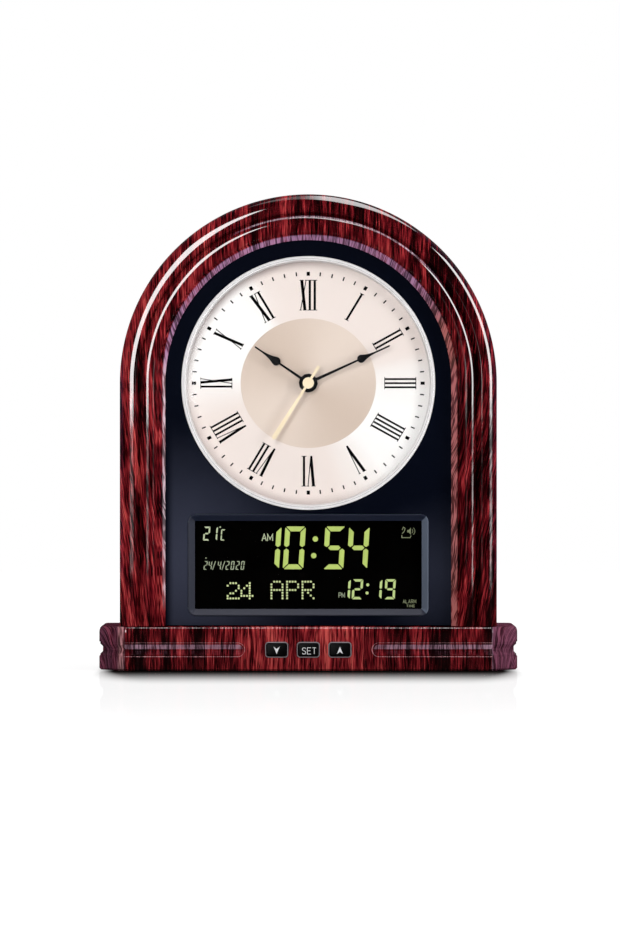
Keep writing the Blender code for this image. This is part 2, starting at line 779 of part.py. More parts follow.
def make_base():
    posts, pads = post_places()
    plate_bottom = FOOT_STANDOFF + BASE_PLATE_RAISE
    plate_top = plate_bottom + BASE_PLATE_THICKNESS
    post_bottom = plate_top + SEAT_GAP
    ceiling = BASE_TOP - BASE_WALL
    case = add_piece("base_case", base_shell(bmesh.new()), "wood_film")
    bm = bmesh.new()
    for place in posts:
        post(bm, POST_RADIUS, post_bottom, ceiling + FUSE_DEPTH, place)
    fuse(case, "posts", bm)
    bm = bmesh.new()
    for place in posts:
        post(bm, SCREW_RADIUS + SLIDE_GAP, post_bottom - CUT_OVERRUN, ceiling - BASE_WALL, place)
    for place in floor_screw_places():
        post(bm, SCREW_RADIUS + SLIDE_GAP, ceiling - CUT_OVERRUN, BASE_TOP + CUT_OVERRUN, place)
    cut(case, "screw_holes", bm)
    for side, label in ((-1, "left_flute"), (1, "right_flute")):
        cut(case, label, flute_cutter(bmesh.new(), side))
    bm = bmesh.new()
    pocket_front = BASE_FRONT + BASE_WALL
    pocket_back = BASE_FRONT + BASE_SIDE_WALL + CUT_OVERRUN
    middle = BUTTON_CENTRE_HEIGHT
    reach = BUTTON_POCKET_HALF_WIDTH
    tall = BUTTON_POCKET_HALF_HEIGHT
    block(bm, -reach, reach, pocket_front, pocket_back, middle - tall, middle + tall)
    cut(case, "button_pocket", bm)
    bm = bmesh.new()
    hole_width = BUTTON_WIDTH + 2 * SLIDE_GAP
    hole_height = BUTTON_HEIGHT + 2 * SLIDE_GAP
    for _, x in button_places():
        hole = rounded(hole_width, hole_height, BUTTON_RADIUS)
        prism(bm, hole, BASE_FRONT - CUT_OVERRUN, pocket_front + CUT_OVERRUN, (x, middle))
    cut(case, "button_holes", bm)
    bm = bmesh.new()
    rim_width = hole_width + 2 * RIM_WIDTH + 2 * SLIDE_GAP
    rim_height = hole_height + 2 * RIM_WIDTH + 2 * SLIDE_GAP
    rim_radius = BUTTON_RADIUS + RIM_WIDTH + SLIDE_GAP
    for _, x in button_places():
        seat = rounded(rim_width, rim_height, rim_radius)
        prism(bm, seat, BASE_FRONT - CUT_OVERRUN, BASE_FRONT + RIM_DEPTH + SEAT_GAP, (x, middle))
    cut(case, "rim_seats", bm)

    inset = BASE_SIDE_WALL - BASE_LEDGE + SEAT_GAP
    plate = add_piece("base_plate", upright(bmesh.new(), base_outline(inset), plate_bottom, plate_top),
                      "black_plastic")
    bm = bmesh.new()
    for place in posts:
        post(bm, SCREW_RADIUS + SLIDE_GAP, plate_bottom - CUT_OVERRUN, plate_top + CUT_OVERRUN, place)
    for place in pads:
        post(bm, PAD_RADIUS + SLIDE_GAP, plate_bottom - CUT_OVERRUN, plate_bottom + PAD_SINK, place,
             ROUND_STEPS)
    cut(plate, "holes", bm)
    bm = bmesh.new()
    for place in posts:
        post(bm, SCREW_HEAD_RADIUS + SLIDE_GAP, plate_bottom - CUT_OVERRUN,
             plate_bottom + SCREW_HEAD_HEIGHT, place)
    cut(plate, "head_seats", bm)

    for corner, (x, y) in zip(CORNER_NAMES, pads):
        bm = upright(bmesh.new(), circle(PAD_RADIUS, ROUND_STEPS), 0, plate_bottom + PAD_SINK - SEAT_GAP)
        add_piece("foot_pad_" + corner, bm, "rubber", (x, y, 0))
    seat = plate_bottom + SCREW_HEAD_HEIGHT - SEAT_GAP
    for corner, (x, y) in zip(CORNER_NAMES, posts):
        bm = upright_screw(bmesh.new(), BASE_SCREW_LENGTH)
        add_piece("base_screw_" + corner, bm, "steel", (x, y, seat))


# Buttons and the key board behind them

def make_buttons():
    middle = BUTTON_CENTRE_HEIGHT
    wall_back = BASE_FRONT + BASE_WALL
    flange_front = wall_back + SEAT_GAP
    flange_back = flange_front + BUTTON_FLANGE_THICKNESS
    board_front = BASE_FRONT + BASE_SIDE_WALL + SEAT_GAP
    board_back = board_front + BOARD_THICKNESS
    switch_back = board_front - SEAT_GAP
    switch_front = switch_back - SWITCH_DEPTH
    stem_back = switch_front + STEM_ENTRY
    for name, x in button_places():
        axis = add_axis("slide_" + name, (x, BASE_FRONT, middle))
        bm = bmesh.new()
        front = -BUTTON_PROUD
        rings = []
        cap_levels = ((front, BUTTON_EDGE), (front + BUTTON_EDGE, 0), (flange_front - BASE_FRONT, 0))
        for depth, inset in cap_levels:
            outline = rounded(BUTTON_WIDTH - 2 * inset, BUTTON_HEIGHT - 2 * inset, BUTTON_RADIUS - inset)
            rings.append([bm.verts.new((across, depth, up)) for across, up in outline])
        wide = 2 * BUTTON_FLANGE
        outline = rounded(BUTTON_WIDTH + wide, BUTTON_HEIGHT + wide, BUTTON_RADIUS)
        for depth in (flange_front, flange_back):
            rings.append([bm.verts.new((across, depth - BASE_FRONT, up)) for across, up in outline])
        for first, second in zip(rings, rings[1:]):
            bridge(bm, first, second)
        bm.faces.new(rings[0])
        bm.faces.new(rings[-1])
        button = add_piece("button_" + name, bm, "black_plastic", parent=axis)
        fuse(button, "stem", disc(bmesh.new(), STEM_RADIUS, flange_back - BASE_FRONT - FUSE_DEPTH,
                                  stem_back - BASE_FRONT, SMALL_STEPS))

        body = rounded(SWITCH_SIZE, SWITCH_SIZE, BUTTON_EDGE)
        switch = add_piece("switch_" + name, prism(bmesh.new(), body, switch_front, switch_back),
                           "black_plastic", (x, 0, middle))
        bottom = stem_back + BUTTON_TRAVEL + SEAT_GAP
        cut(switch, "bore", disc(bmesh.new(), STEM_RADIUS + ROUND_GAP, switch_front - CUT_OVERRUN, bottom,
                                 SMALL_STEPS))

    board = rounded(2 * KEY_BOARD_HALF_WIDTH, 2 * KEY_BOARD_HALF_HEIGHT, BUTTON_RADIUS)
    add_piece("key_board", prism(bmesh.new(), board, board_front, board_back, (0, middle)), "board_green")


# Arched housing

def arch_profile():
    """The housing's section as (radius, depth), round from the rear edge over both beads."""
    outer_bead = bead(
        (ARCH_RADIUS - OUTER_BEAD_WIDTH, OUTER_BEAD_START_RISE),
        (ARCH_RADIUS - OUTER_BEAD_FAR_WIDTH, OUTER_BEAD_RISE),
        (ARCH_RADIUS, OUTER_BEAD_END_RISE),
    )
    inner_bead = bead(
        (STEP_RADIUS - INNER_BEAD_WIDTH, INNER_BEAD_START_RISE),
        (STEP_RADIUS - INNER_BEAD_FAR_WIDTH, INNER_BEAD_RISE),
        (STEP_RADIUS, INNER_BEAD_END_RISE),
    )
    front = [(LIP_RADIUS, 0)] + inner_bead + outer_bead
    points = [(radius, LIP_FRONT - rise) for radius, rise in front]
    core_front = LIP_FRONT - OUTER_BEAD_RISE + CORE_WALL
    core_inner = ARCH_RADIUS - OUTER_BEAD_WIDTH
    points += [
        (ARCH_RADIUS, ARCH_BACK - ARCH_REAR_BEVEL),
        (ARCH_RADIUS - ARCH_REAR_BEVEL, ARCH_BACK),
        (INNER_RADIUS, ARCH_BACK),
        (INNER_RADIUS, core_front + CORE_SLOPE),
        (INNER_RADIUS - CORE_SLOPE / 2, core_front),
        (core_inner + CORE_SLOPE, core_front),
        (core_inner, LIP_BACK),
        (LIP_RADIUS, LIP_BACK),
    ]
    return points


def make_arch():
    bm = bmesh.new()
    profile = arch_profile()
    drop = ARCH_BOTTOM - ARCH_CENTRE_HEIGHT
    rings = [[bm.verts.new((radius, depth, drop)) for radius, depth in profile]]
    for index in range(ARCH_STEPS + 1):
        angle = math.pi * index / ARCH_STEPS
        ring = []
        for radius, depth in profile:
            ring.append(bm.verts.new((radius * math.cos(angle), depth, radius * math.sin(angle))))
        rings.append(ring)
    rings.append([bm.verts.new((-radius, depth, drop)) for radius, depth in profile])
    for first, second in zip(rings, rings[1:]):
        bridge(bm, first, second)
    bm.faces.new(rings[0])
    bm.faces.new(rings[-1])
    arch = add_piece("arch_case", bm, "wood_film", (0, 0, ARCH_CENTRE_HEIGHT))

    floor_top = FLOOR_TOP - ARCH_CENTRE_HEIGHT
    floor_reach = INNER_RADIUS + FUSE_DEPTH
    floor_front = PANEL_BACK + SEAT_GAP
    floor_back = COVER_FRONT - SEAT_GAP
    bm = block(bmesh.new(), -floor_reach, floor_reach, floor_front, floor_back, drop, floor_top)
    fuse(arch, "floor", bm)
    bm = bmesh.new()
    for place in floor_screw_places():
        post(bm, FLOOR_BOSS_RADIUS, floor_top - FUSE_DEPTH, floor_top + FLOOR_BOSS_HEIGHT, place)
    fuse(arch, "floor_bosses", bm)
    bm = bmesh.new()
    boss_front = LIP_FRONT - OUTER_BEAD_RISE + CORE_WALL - FUSE_DEPTH
    places = arch_places(REAR_BOSS_REACH, REAR_ARC_ANGLES, REAR_LEG_SHARES)
    for place in places:
        disc(bm, REAR_BOSS_RADIUS, boss_front, COVER_FRONT - SEAT_GAP, SMALL_STEPS, place)
    fuse(arch, "rear_bosses", bm)
    bm = bmesh.new()
    for place in places:
        disc(bm, SCREW_RADIUS + SLIDE_GAP, 0, COVER_FRONT + CUT_OVERRUN, SMALL_STEPS, place)
    boss_top = floor_top + FLOOR_BOSS_HEIGHT
    for place in floor_screw_places():
        post(bm, SCREW_RADIUS + SLIDE_GAP, drop - CUT_OVERRUN, boss_top + CUT_OVERRUN, place)
    cut(arch, "screw_holes", bm)


# Front panel, dial ring, lens and dial

def make_panel():
    centre = (0, 0, ARCH_CENTRE_HEIGHT)
    bm = prism(bmesh.new(), arch_outline(PANEL_RADIUS, PANEL_BOTTOM), PANEL_FRONT, PANEL_BACK)
    panel = add_piece("front_panel", bm, "panel_blue", centre)
    bm = bmesh.new()
    collar = (
        (COLLAR_RADIUS, PANEL_BACK - FUSE_DEPTH),
        (COLLAR_RADIUS + COLLAR_WALL, PANEL_BACK - FUSE_DEPTH),
        (COLLAR_RADIUS + COLLAR_WALL, PANEL_BACK + COLLAR_DEPTH),
        (COLLAR_RADIUS, PANEL_BACK + COLLAR_DEPTH),
    )
    turned(bm, collar, DIAL_STEPS, closed=True)
    fuse(panel, "collar", bm)
    bm = bmesh.new()
    board_front = display_levels()["board_front"]
    for place in board_pillar_places():
        disc(bm, BOARD_PILLAR_RADIUS, PANEL_BACK - FUSE_DEPTH, board_front - SEAT_GAP, SMALL_STEPS, place)
    fuse(panel, "pillars", bm)
    bm = bmesh.new()
    disc(bm, DIAL_RING_RADIUS + SEAT_GAP, PANEL_FRONT - CUT_OVERRUN, PANEL_BACK + CUT_OVERRUN, DIAL_STEPS)
    display = rounded(BEZEL_WIDTH + 2 * SLIDE_GAP, BEZEL_HEIGHT + 2 * SLIDE_GAP, BEZEL_RADIUS + SLIDE_GAP)
    prism(bm, display, PANEL_FRONT - CUT_OVERRUN, PANEL_BACK + CUT_OVERRUN, (0, display_drop()))
    cut(panel, "openings", bm)


def make_dial():
    centre = (0, 0, ARCH_CENTRE_HEIGHT)
    bore = DIAL_RING_RADIUS - DIAL_RING_WIDTH
    ring = (
        (bore, RING_FRONT),
        (DIAL_RING_RADIUS, RING_FRONT),
        (DIAL_RING_RADIUS, RING_BACK),
        (bore - DIAL_RING_TAPER, RING_BACK),
    )
    add_piece("dial_ring", turned(bmesh.new(), ring, DIAL_STEPS, closed=True), "pale_plastic", centre)
    edge_front = LENS_BACK - LENS_EDGE_HEIGHT
    lens = []
    for wall, steps in ((0, LENS_STEPS), (LENS_WALL, LENS_STEPS - 1)):
        edge = DIAL_RING_RADIUS - ROUND_GAP - wall
        round_radius = LENS_EDGE_ROUND - wall / 2
        face = [(edge, LENS_BACK)]
        for index in range(steps + 1):
            angle = math.pi / 2 * index / steps
            across = edge - round_radius * (1 - math.cos(angle))
            rise = round_radius * math.sin(angle)
            face.append((across, edge_front - rise + wall / 2))
        face.append((0, edge_front - round_radius - LENS_CROWN + wall / 2))
        lens.append(face)
    outline = lens[0] + list(reversed(lens[1]))
    crown_inner = outline.index(lens[1][-1])
    bm = bmesh.new()
    turned(bm, list(reversed(outline[:crown_inner])) + list(reversed(outline[crown_inner:])), DIAL_STEPS)
    add_piece("dial_lens", bm, "clear", centre)
    bm = disc(bmesh.new(), DIAL_RING_RADIUS, DIAL_FRONT, DIAL_BACK, DIAL_STEPS)
    dial = add_piece("dial_plate", bm, "dial_cream", centre)
    cut(dial, "bush_hole", disc(bmesh.new(), BUSH_RADIUS + SLIDE_GAP, DIAL_FRONT - CUT_OVERRUN,
                                DIAL_BACK + CUT_OVERRUN, ROUND_STEPS))
    nut = prism(bmesh.new(), circle(NUT_RADIUS, NUT_SIDES), NUT_BACK - NUT_HEIGHT, NUT_BACK)
    nut_piece = add_piece("dial_nut", nut, "brass", centre)
    cut(nut_piece, "bore", disc(bmesh.new(), BUSH_RADIUS + ROUND_GAP, NUT_BACK - NUT_HEIGHT - CUT_OVERRUN,
                                NUT_BACK + CUT_OVERRUN, ROUND_STEPS))


# Hands

FLARE_TURN_SHARE = 0.08
FLARE_SHARES = ((0.30, 0.50), (0.60, 0.18), (1.0, 0.0))


def bulged_hand(length, reach, bulge, flare, shaft, neck):
    """A hand that points up: a slim shaft, a round bulge that flares inwards and a needle to the tip."""
    needle = NEEDLE_WIDTH / 2
    start = math.asin(neck / 2 / bulge) - math.pi / 2
    turn = FLARE_TURN_SHARE * math.pi
    right = [(shaft / 2, 0)]
    for index in range(BULGE_STEPS + 1):
        angle = start + (turn - start) * index / BULGE_STEPS
        right.append((bulge * math.cos(angle), reach + bulge * math.sin(angle)))
    wide, foot = right[-1]
    for along_share, width_share in FLARE_SHARES:
        right.append((needle + (wide - needle) * width_share, foot + (reach + flare - foot) * along_share))
    right += [(needle, length - needle), (needle / 2, length)]
    return right + [(-x, z) for x, z in reversed(right)]


def pointer(thickness_front, thickness_back, outline):
    return prism(bmesh.new(), outline, thickness_front, thickness_back)


def make_hands():
    centre = (0, 0, ARCH_CENTRE_HEIGHT)
    hour_axis = add_axis("hour_axis", centre)
    minute_axis = add_axis("minute_axis", centre)
    second_axis = add_axis("second_axis", centre)
    outline = bulged_hand(HOUR_LENGTH, HOUR_BULGE_REACH, HOUR_BULGE_RADIUS, HOUR_FLARE_LENGTH, HOUR_SHAFT_WIDTH,
                          HOUR_NECK_WIDTH)
    hour = add_piece("hour_hand", pointer(HOUR_FRONT, HOUR_BACK, outline), "hand_black",
                     rotation=(0, HOUR_ANGLE, 0), parent=hour_axis)
    fuse(hour, "hub", disc(bmesh.new(), HUB_RADIUS, HOUR_FRONT, HOUR_BACK, ROUND_STEPS))
    cut(hour, "bore", disc(bmesh.new(), HOUR_TUBE_RADIUS + ROUND_GAP, HOUR_FRONT - CUT_OVERRUN,
                           HOUR_BACK + CUT_OVERRUN, ROUND_STEPS))
    outline = bulged_hand(MINUTE_LENGTH, MINUTE_BULGE_REACH, MINUTE_BULGE_RADIUS, MINUTE_FLARE_LENGTH,
                          MINUTE_SHAFT_WIDTH, MINUTE_NECK_WIDTH)
    minute = add_piece("minute_hand", pointer(MINUTE_FRONT, MINUTE_BACK, outline), "hand_black",
                       rotation=(0, MINUTE_ANGLE, 0), parent=minute_axis)
    fuse(minute, "hub", disc(bmesh.new(), MINUTE_HUB_RADIUS, MINUTE_FRONT, MINUTE_BACK, ROUND_STEPS))
    cut(minute, "bore", disc(bmesh.new(), MINUTE_ARBOR_RADIUS + ROUND_GAP, MINUTE_FRONT - CUT_OVERRUN,
                             MINUTE_BACK + CUT_OVERRUN, ROUND_STEPS))
    outline = (
        (-SECOND_TAIL_WIDTH / 2, -SECOND_TAIL),
        (SECOND_TAIL_WIDTH / 2, -SECOND_TAIL),
        (SECOND_NECK_WIDTH / 2, 0),
        (SECOND_TIP_WIDTH / 2, SECOND_LENGTH - SECOND_TIP_WIDTH / 2),
        (0, SECOND_LENGTH),
        (-SECOND_TIP_WIDTH / 2, SECOND_LENGTH - SECOND_TIP_WIDTH / 2),
        (-SECOND_NECK_WIDTH / 2, 0),
    )
    second = add_piece("second_hand", pointer(SECOND_FRONT, SECOND_BACK, outline), "hand_gold",
                       rotation=(0, SECOND_ANGLE, 0), parent=second_axis)
    cap_front = SECOND_BACK - SECOND_CAP_HEIGHT
    fuse(second, "cap", disc(bmesh.new(), SECOND_CAP_RADIUS, cap_front, SECOND_BACK, ROUND_STEPS))
    cut(second, "bore", disc(bmesh.new(), SECOND_ARBOR_RADIUS + ROUND_GAP, SECOND_FRONT - ROUND_GAP,
                             SECOND_BACK + CUT_OVERRUN, SMALL_STEPS))
    return hour_axis, minute_axis, second_axis


# Quartz movement

def gear_outline(teeth, module, facing, gap_faces=False, pointed=False):
    """A wheel's toothed edge, with a tooth or a gap towards the wheel that it meets."""
    pitch_radius = teeth * module / 2
    tip = pitch_radius + TOOTH_TIP_SHARE * module
    root = pitch_radius - TOOTH_ROOT_SHARE * module
    step = 2 * math.pi / teeth
    start = facing + (step / 2 if gap_faces else 0)
    points = []
    for index in range(teeth):
        middle = start + index * step
        tops = (0,) if pointed else (-TOOTH_TOP_SHARE, TOOTH_TOP_SHARE)
        crest = [(tip, share) for share in tops]
        corners = [(root, -TOOTH_FOOT_SHARE)] + crest + [(root, TOOTH_FOOT_SHARE)]
        for radius, share in corners:
            angle = middle + share * step
            points.append((radius * math.cos(angle), radius * math.sin(angle)))
    return points


def wheel_levels():
    """Front face of each layer of wheels, behind one another inside the movement."""
    hour_front = MOVEMENT_FRONT + MOVEMENT_WALL + LAYER_AIR
    motion_front = hour_front + PINION_LENGTH + LAYER_AIR
    centre_front = motion_front + PINION_LENGTH + LAYER_AIR
    third_front = centre_front + PINION_LENGTH + LAYER_AIR
    second_front = third_front + PINION_LENGTH + LAYER_AIR
    step_front = second_front + PINION_LENGTH + LAYER_AIR
    rotor_front = step_front + PINION_LENGTH + LAYER_AIR
    return hour_front, motion_front, centre_front, third_front, second_front, step_front, rotor_front


def around(direction, distance):
    return (distance * math.cos(direction), distance * math.sin(direction))


def make_movement(hour_axis, minute_axis, second_axis):
    centre = (0, 0, ARCH_CENTRE_HEIGHT)
    size = MOVEMENT_SIZE
    inner_size = size - 2 * MOVEMENT_WALL
    body = rounded(size, size, MOVEMENT_CORNER)
    cavity = rounded(inner_size, inner_size, CAVITY_CORNER, 1)
    inner_front = MOVEMENT_FRONT + MOVEMENT_WALL
    inner_back = MOVEMENT_BACK - MOVEMENT_WALL
    rear_front = MOVEMENT_SPLIT + SEAT_GAP
    front = add_piece("movement_front", prism(bmesh.new(), body, MOVEMENT_FRONT, MOVEMENT_SPLIT),
                      "black_plastic", centre)
    cut(front, "cavity", prism(bmesh.new(), cavity, inner_front, MOVEMENT_SPLIT + CUT_OVERRUN))
    bush = disc(bmesh.new(), BUSH_RADIUS, BUSH_FRONT, MOVEMENT_FRONT + FUSE_DEPTH, ROUND_STEPS)
    fuse(front, "bush", bush)
    bore = disc(bmesh.new(), HOUR_TUBE_RADIUS + ROUND_GAP, BUSH_FRONT - CUT_OVERRUN,
                inner_front + CUT_OVERRUN, ROUND_STEPS)
    cut(front, "bore", bore)

    trough_half = CELL_RADIUS + ROUND_GAP
    trough_bottom = -inner_size / 2 + SEAT_GAP + TROUGH_WALL
    cell_height = trough_bottom + trough_half
    trough_top = trough_bottom + 2 * trough_half
    trough_reach = inner_size / 2 - SEAT_GAP - TROUGH_WALL
    trough_front = inner_front + SEAT_GAP + TROUGH_WALL
    cell_depth = MOVEMENT_BACK + MOVEMENT_CELL_PROUD - CELL_RADIUS
    rear = add_piece("movement_rear", prism(bmesh.new(), body, rear_front, MOVEMENT_BACK),
                     "black_plastic", centre)
    trough = block(bmesh.new(), -trough_reach - TROUGH_WALL, trough_reach + TROUGH_WALL,
                   inner_front + SEAT_GAP, rear_front + FUSE_DEPTH, trough_bottom - TROUGH_WALL,
                   trough_top + TROUGH_WALL)
    fuse(rear, "trough", trough)
    room_half = inner_size / 2
    room = block(bmesh.new(), -room_half, room_half, inner_front - CUT_OVERRUN, inner_back,
                 trough_top + TROUGH_WALL, room_half)
    cut(rear, "wheel_room", room)
    cell_room = block(bmesh.new(), -trough_reach, trough_reach, trough_front, MOVEMENT_BACK + CUT_OVERRUN,
                      trough_bottom, trough_top)
    cut(rear, "cell_room", cell_room)
    setting = around(SETTING_DIRECTION, MOTION_DISTANCE)
    hole = disc(bmesh.new(), SETTING_ARBOR_RADIUS + ROUND_GAP, inner_back - CUT_OVERRUN,
                MOVEMENT_BACK + CUT_OVERRUN, SMALL_STEPS, setting)
    cut(rear, "setting_hole", hole)

    levels = wheel_levels()
    hour_front, motion_front, centre_front, third_front, second_front, step_front, rotor_front = levels
    hour_module = 2 * MOTION_DISTANCE / (HOUR_WHEEL_TEETH + SETTING_PINION_TEETH)
    motion_module = 2 * MOTION_DISTANCE / (SETTING_WHEEL_TEETH + MINUTE_PINION_TEETH)
    train_distance = TRAIN_MODULE * (SECOND_PINION_TEETH + THIRD_WHEEL_TEETH) / 2
    centre_module = 2 * train_distance / (THIRD_PINION_TEETH + CENTRE_WHEEL_TEETH)

    outline = gear_outline(HOUR_WHEEL_TEETH, hour_module, SETTING_DIRECTION, pointed=True)
    bm = prism(bmesh.new(), outline, hour_front, hour_front + WHEEL_THICKNESS)
    hour_wheel = add_piece("hour_wheel", bm, "acetal", parent=hour_axis)
    tube_front = HOUR_FRONT - ROUND_GAP
    tube = disc(bmesh.new(), HOUR_TUBE_RADIUS, tube_front, hour_front + FUSE_DEPTH, ROUND_STEPS)
    fuse(hour_wheel, "tube", tube)
    cut(hour_wheel, "bore", disc(bmesh.new(), MINUTE_ARBOR_RADIUS + ROUND_GAP, tube_front - CUT_OVERRUN,
                                 hour_front + WHEEL_THICKNESS + CUT_OVERRUN, ROUND_STEPS))

    outline = gear_outline(MINUTE_PINION_TEETH, motion_module, SETTING_DIRECTION)
    arbor_back = centre_front + WHEEL_THICKNESS + LAYER_AIR / 2
    bm = prism(bmesh.new(), outline, motion_front, motion_front + PINION_LENGTH)
    minute = add_piece("minute_arbor", bm, "acetal", parent=minute_axis)
    arbor = disc(bmesh.new(), MINUTE_ARBOR_RADIUS, MINUTE_FRONT - ROUND_GAP, arbor_back, ROUND_STEPS)
    fuse(minute, "arbor", arbor)
    cut(minute, "bore", disc(bmesh.new(), SECOND_ARBOR_RADIUS + ROUND_GAP, MINUTE_FRONT - CUT_OVERRUN,
                             arbor_back + CUT_OVERRUN, SMALL_STEPS))

    setting_axis = add_axis("setting_axis", (setting[0], 0, ARCH_CENTRE_HEIGHT + setting[1]))
    back_facing = SETTING_DIRECTION + math.pi
    outline = gear_outline(SETTING_WHEEL_TEETH, motion_module, back_facing, True, pointed=True)
    bm = prism(bmesh.new(), outline, motion_front, motion_front + WHEEL_THICKNESS)
    setting_wheel = add_piece("setting_wheel", bm, "acetal", parent=setting_axis)
    outline = gear_outline(SETTING_PINION_TEETH, hour_module, back_facing, True)
    fuse(setting_wheel, "pinion", prism(bmesh.new(), outline, hour_front, motion_front + FUSE_DEPTH))
    knob_front = MOVEMENT_BACK + SEAT_GAP
    arbor_end = knob_front + KNOB_HEIGHT / 2
    fuse(setting_wheel, "arbor", disc(bmesh.new(), SETTING_ARBOR_RADIUS, hour_front + ROUND_GAP, arbor_end,
                                      SMALL_STEPS))
    knob_outline = []
    for index, (x, z) in enumerate(circle(1, 2 * ROUND_STEPS)):
        radius = KNOB_RADIUS if index % 2 else KNOB_RADIUS - KNOB_GROOVE
        knob_outline.append((x * radius, z * radius))
    bm = prism(bmesh.new(), knob_outline, knob_front, knob_front + KNOB_HEIGHT)
    knob = add_piece("setting_knob", bm, "white_plastic", parent=setting_axis)
    cut(knob, "bore", disc(bmesh.new(), SETTING_ARBOR_RADIUS + ROUND_GAP, knob_front - CUT_OVERRUN,
                           arbor_end + SEAT_GAP, SMALL_STEPS))

    outline = gear_outline(CENTRE_WHEEL_TEETH, centre_module, THIRD_DIRECTION, pointed=True)
    train_axis = add_axis("centre_axis", centre)
    bm = prism(bmesh.new(), outline, centre_front, centre_front + WHEEL_THICKNESS)
    wheel = add_piece("centre_wheel", bm, "acetal", parent=train_axis)
    cut(wheel, "bore", disc(bmesh.new(), MINUTE_ARBOR_RADIUS + ROUND_GAP, centre_front - CUT_OVERRUN,
                            centre_front + WHEEL_THICKNESS + CUT_OVERRUN, ROUND_STEPS))

    third = around(THIRD_DIRECTION, train_distance)
    third_axis = add_axis("third_axis", (third[0], 0, ARCH_CENTRE_HEIGHT + third[1]))
    facing = THIRD_DIRECTION + math.pi
    outline = gear_outline(THIRD_WHEEL_TEETH, TRAIN_MODULE, facing, True, pointed=True)
    bm = prism(bmesh.new(), outline, third_front, third_front + WHEEL_THICKNESS)
    third_wheel = add_piece("third_wheel", bm, "acetal", parent=third_axis)
    outline = gear_outline(THIRD_PINION_TEETH, centre_module, facing, True)
    fuse(third_wheel, "pinion", prism(bmesh.new(), outline, centre_front, third_front + FUSE_DEPTH))
    fuse(third_wheel, "arbor", disc(bmesh.new(), THIRD_ARBOR_RADIUS, motion_front + PINION_LENGTH,
                                    third_front + PINION_LENGTH, SMALL_STEPS))

    outline = gear_outline(SECOND_PINION_TEETH, TRAIN_MODULE, THIRD_DIRECTION)
    bm = prism(bmesh.new(), outline, third_front, third_front + PINION_LENGTH)
    second = add_piece("second_arbor", bm, "steel", parent=second_axis)
    outline = gear_outline(SECOND_WHEEL_TEETH, SECOND_MODULE, STEP_DIRECTION, pointed=True)
    fuse(second, "wheel", prism(bmesh.new(), outline, second_front, second_front + WHEEL_THICKNESS))
    arbor = disc(bmesh.new(), SECOND_ARBOR_RADIUS, SECOND_FRONT, inner_back - SEAT_GAP, SMALL_STEPS)
    fuse(second, "arbor", arbor)

    step_place = around(STEP_DIRECTION, SECOND_MODULE * (SECOND_WHEEL_TEETH + STEP_PINION_TEETH) / 2)
    step_axis = add_axis("step_axis", (step_place[0], 0, ARCH_CENTRE_HEIGHT + step_place[1]))
    outline = gear_outline(STEP_WHEEL_TEETH, STEP_MODULE, ROTOR_DIRECTION, pointed=True)
    bm = prism(bmesh.new(), outline, step_front, step_front + WHEEL_THICKNESS)
    step_wheel = add_piece("step_wheel", bm, "acetal", parent=step_axis)
    outline = gear_outline(STEP_PINION_TEETH, SECOND_MODULE, STEP_DIRECTION + math.pi, True)
    fuse(step_wheel, "pinion", prism(bmesh.new(), outline, second_front, step_front + FUSE_DEPTH))

    rotor_reach = around(ROTOR_DIRECTION, STEP_MODULE * (STEP_WHEEL_TEETH + ROTOR_PINION_TEETH) / 2)
    rotor_place = (step_place[0] + rotor_reach[0], step_place[1] + rotor_reach[1])
    rotor_axis = add_axis("rotor_axis", (rotor_place[0], 0, ARCH_CENTRE_HEIGHT + rotor_place[1]))
    outline = gear_outline(ROTOR_PINION_TEETH, STEP_MODULE, ROTOR_DIRECTION + math.pi, True)
    rotor = add_piece("rotor", prism(bmesh.new(), outline, step_front, rotor_front + FUSE_DEPTH),
                      "magnet_grey", parent=rotor_axis)
    rotor_back = rotor_front + ROTOR_THICKNESS
    fuse(rotor, "magnet", disc(bmesh.new(), ROTOR_RADIUS, rotor_front, rotor_back, ROUND_STEPS))
    make_motor_coil(rotor_place, setting, (rotor_front + rotor_back - STATOR_THICKNESS) / 2)

    bm = bmesh.new()
    cell_body(bm, 0, cell_depth, cell_height, 1)
    add_piece("movement_cell", bm, "cell_sleeve", centre)


def make_motor_coil(rotor_place, setting, stator_front):
    """The stepping motor's coil, with the stator plate that reaches down round the rotor."""
    stator_back = stator_front + STATOR_THICKNESS
    low = rotor_place[1] - ROTOR_RADIUS - STATOR_RIM
    high = rotor_place[1] + ROTOR_RADIUS + STATOR_RIM
    arm_inner = STATOR_REACH - STATOR_ARM_WIDTH
    outline = (
        (-STATOR_REACH, low), (STATOR_REACH, low), (STATOR_REACH, COIL_RISE), (arm_inner, COIL_RISE),
        (arm_inner, high), (-arm_inner, high), (-arm_inner, COIL_RISE), (-STATOR_REACH, COIL_RISE),
    )
    coil = add_piece("motor_coil", prism(bmesh.new(), outline, stator_front, stator_back), "brass",
                     (0, 0, ARCH_CENTRE_HEIGHT))
    bm = disc(bmesh.new(), ROTOR_RADIUS + ROTOR_AIR, stator_front - CUT_OVERRUN, stator_back + CUT_OVERRUN,
              ROUND_STEPS, rotor_place)
    disc(bm, SETTING_ARBOR_RADIUS + SLIDE_GAP, stator_front - CUT_OVERRUN, stator_back + CUT_OVERRUN,
         SMALL_STEPS, setting)
    cut(coil, "holes", bm)
    half = COIL_LENGTH / 2
    collar = half - COIL_FLANGE_THICKNESS
    profile = (
        (-half, 0), (-half, COIL_FLANGE_RADIUS), (-collar, COIL_FLANGE_RADIUS), (-collar, COIL_RADIUS),
        (collar, COIL_RADIUS), (collar, COIL_FLANGE_RADIUS), (half, COIL_FLANGE_RADIUS), (half, 0),
    )
    fuse(coil, "winding", turned_along_x(bmesh.new(), profile, stator_back - COIL_FLANGE_RADIUS, COIL_RISE))


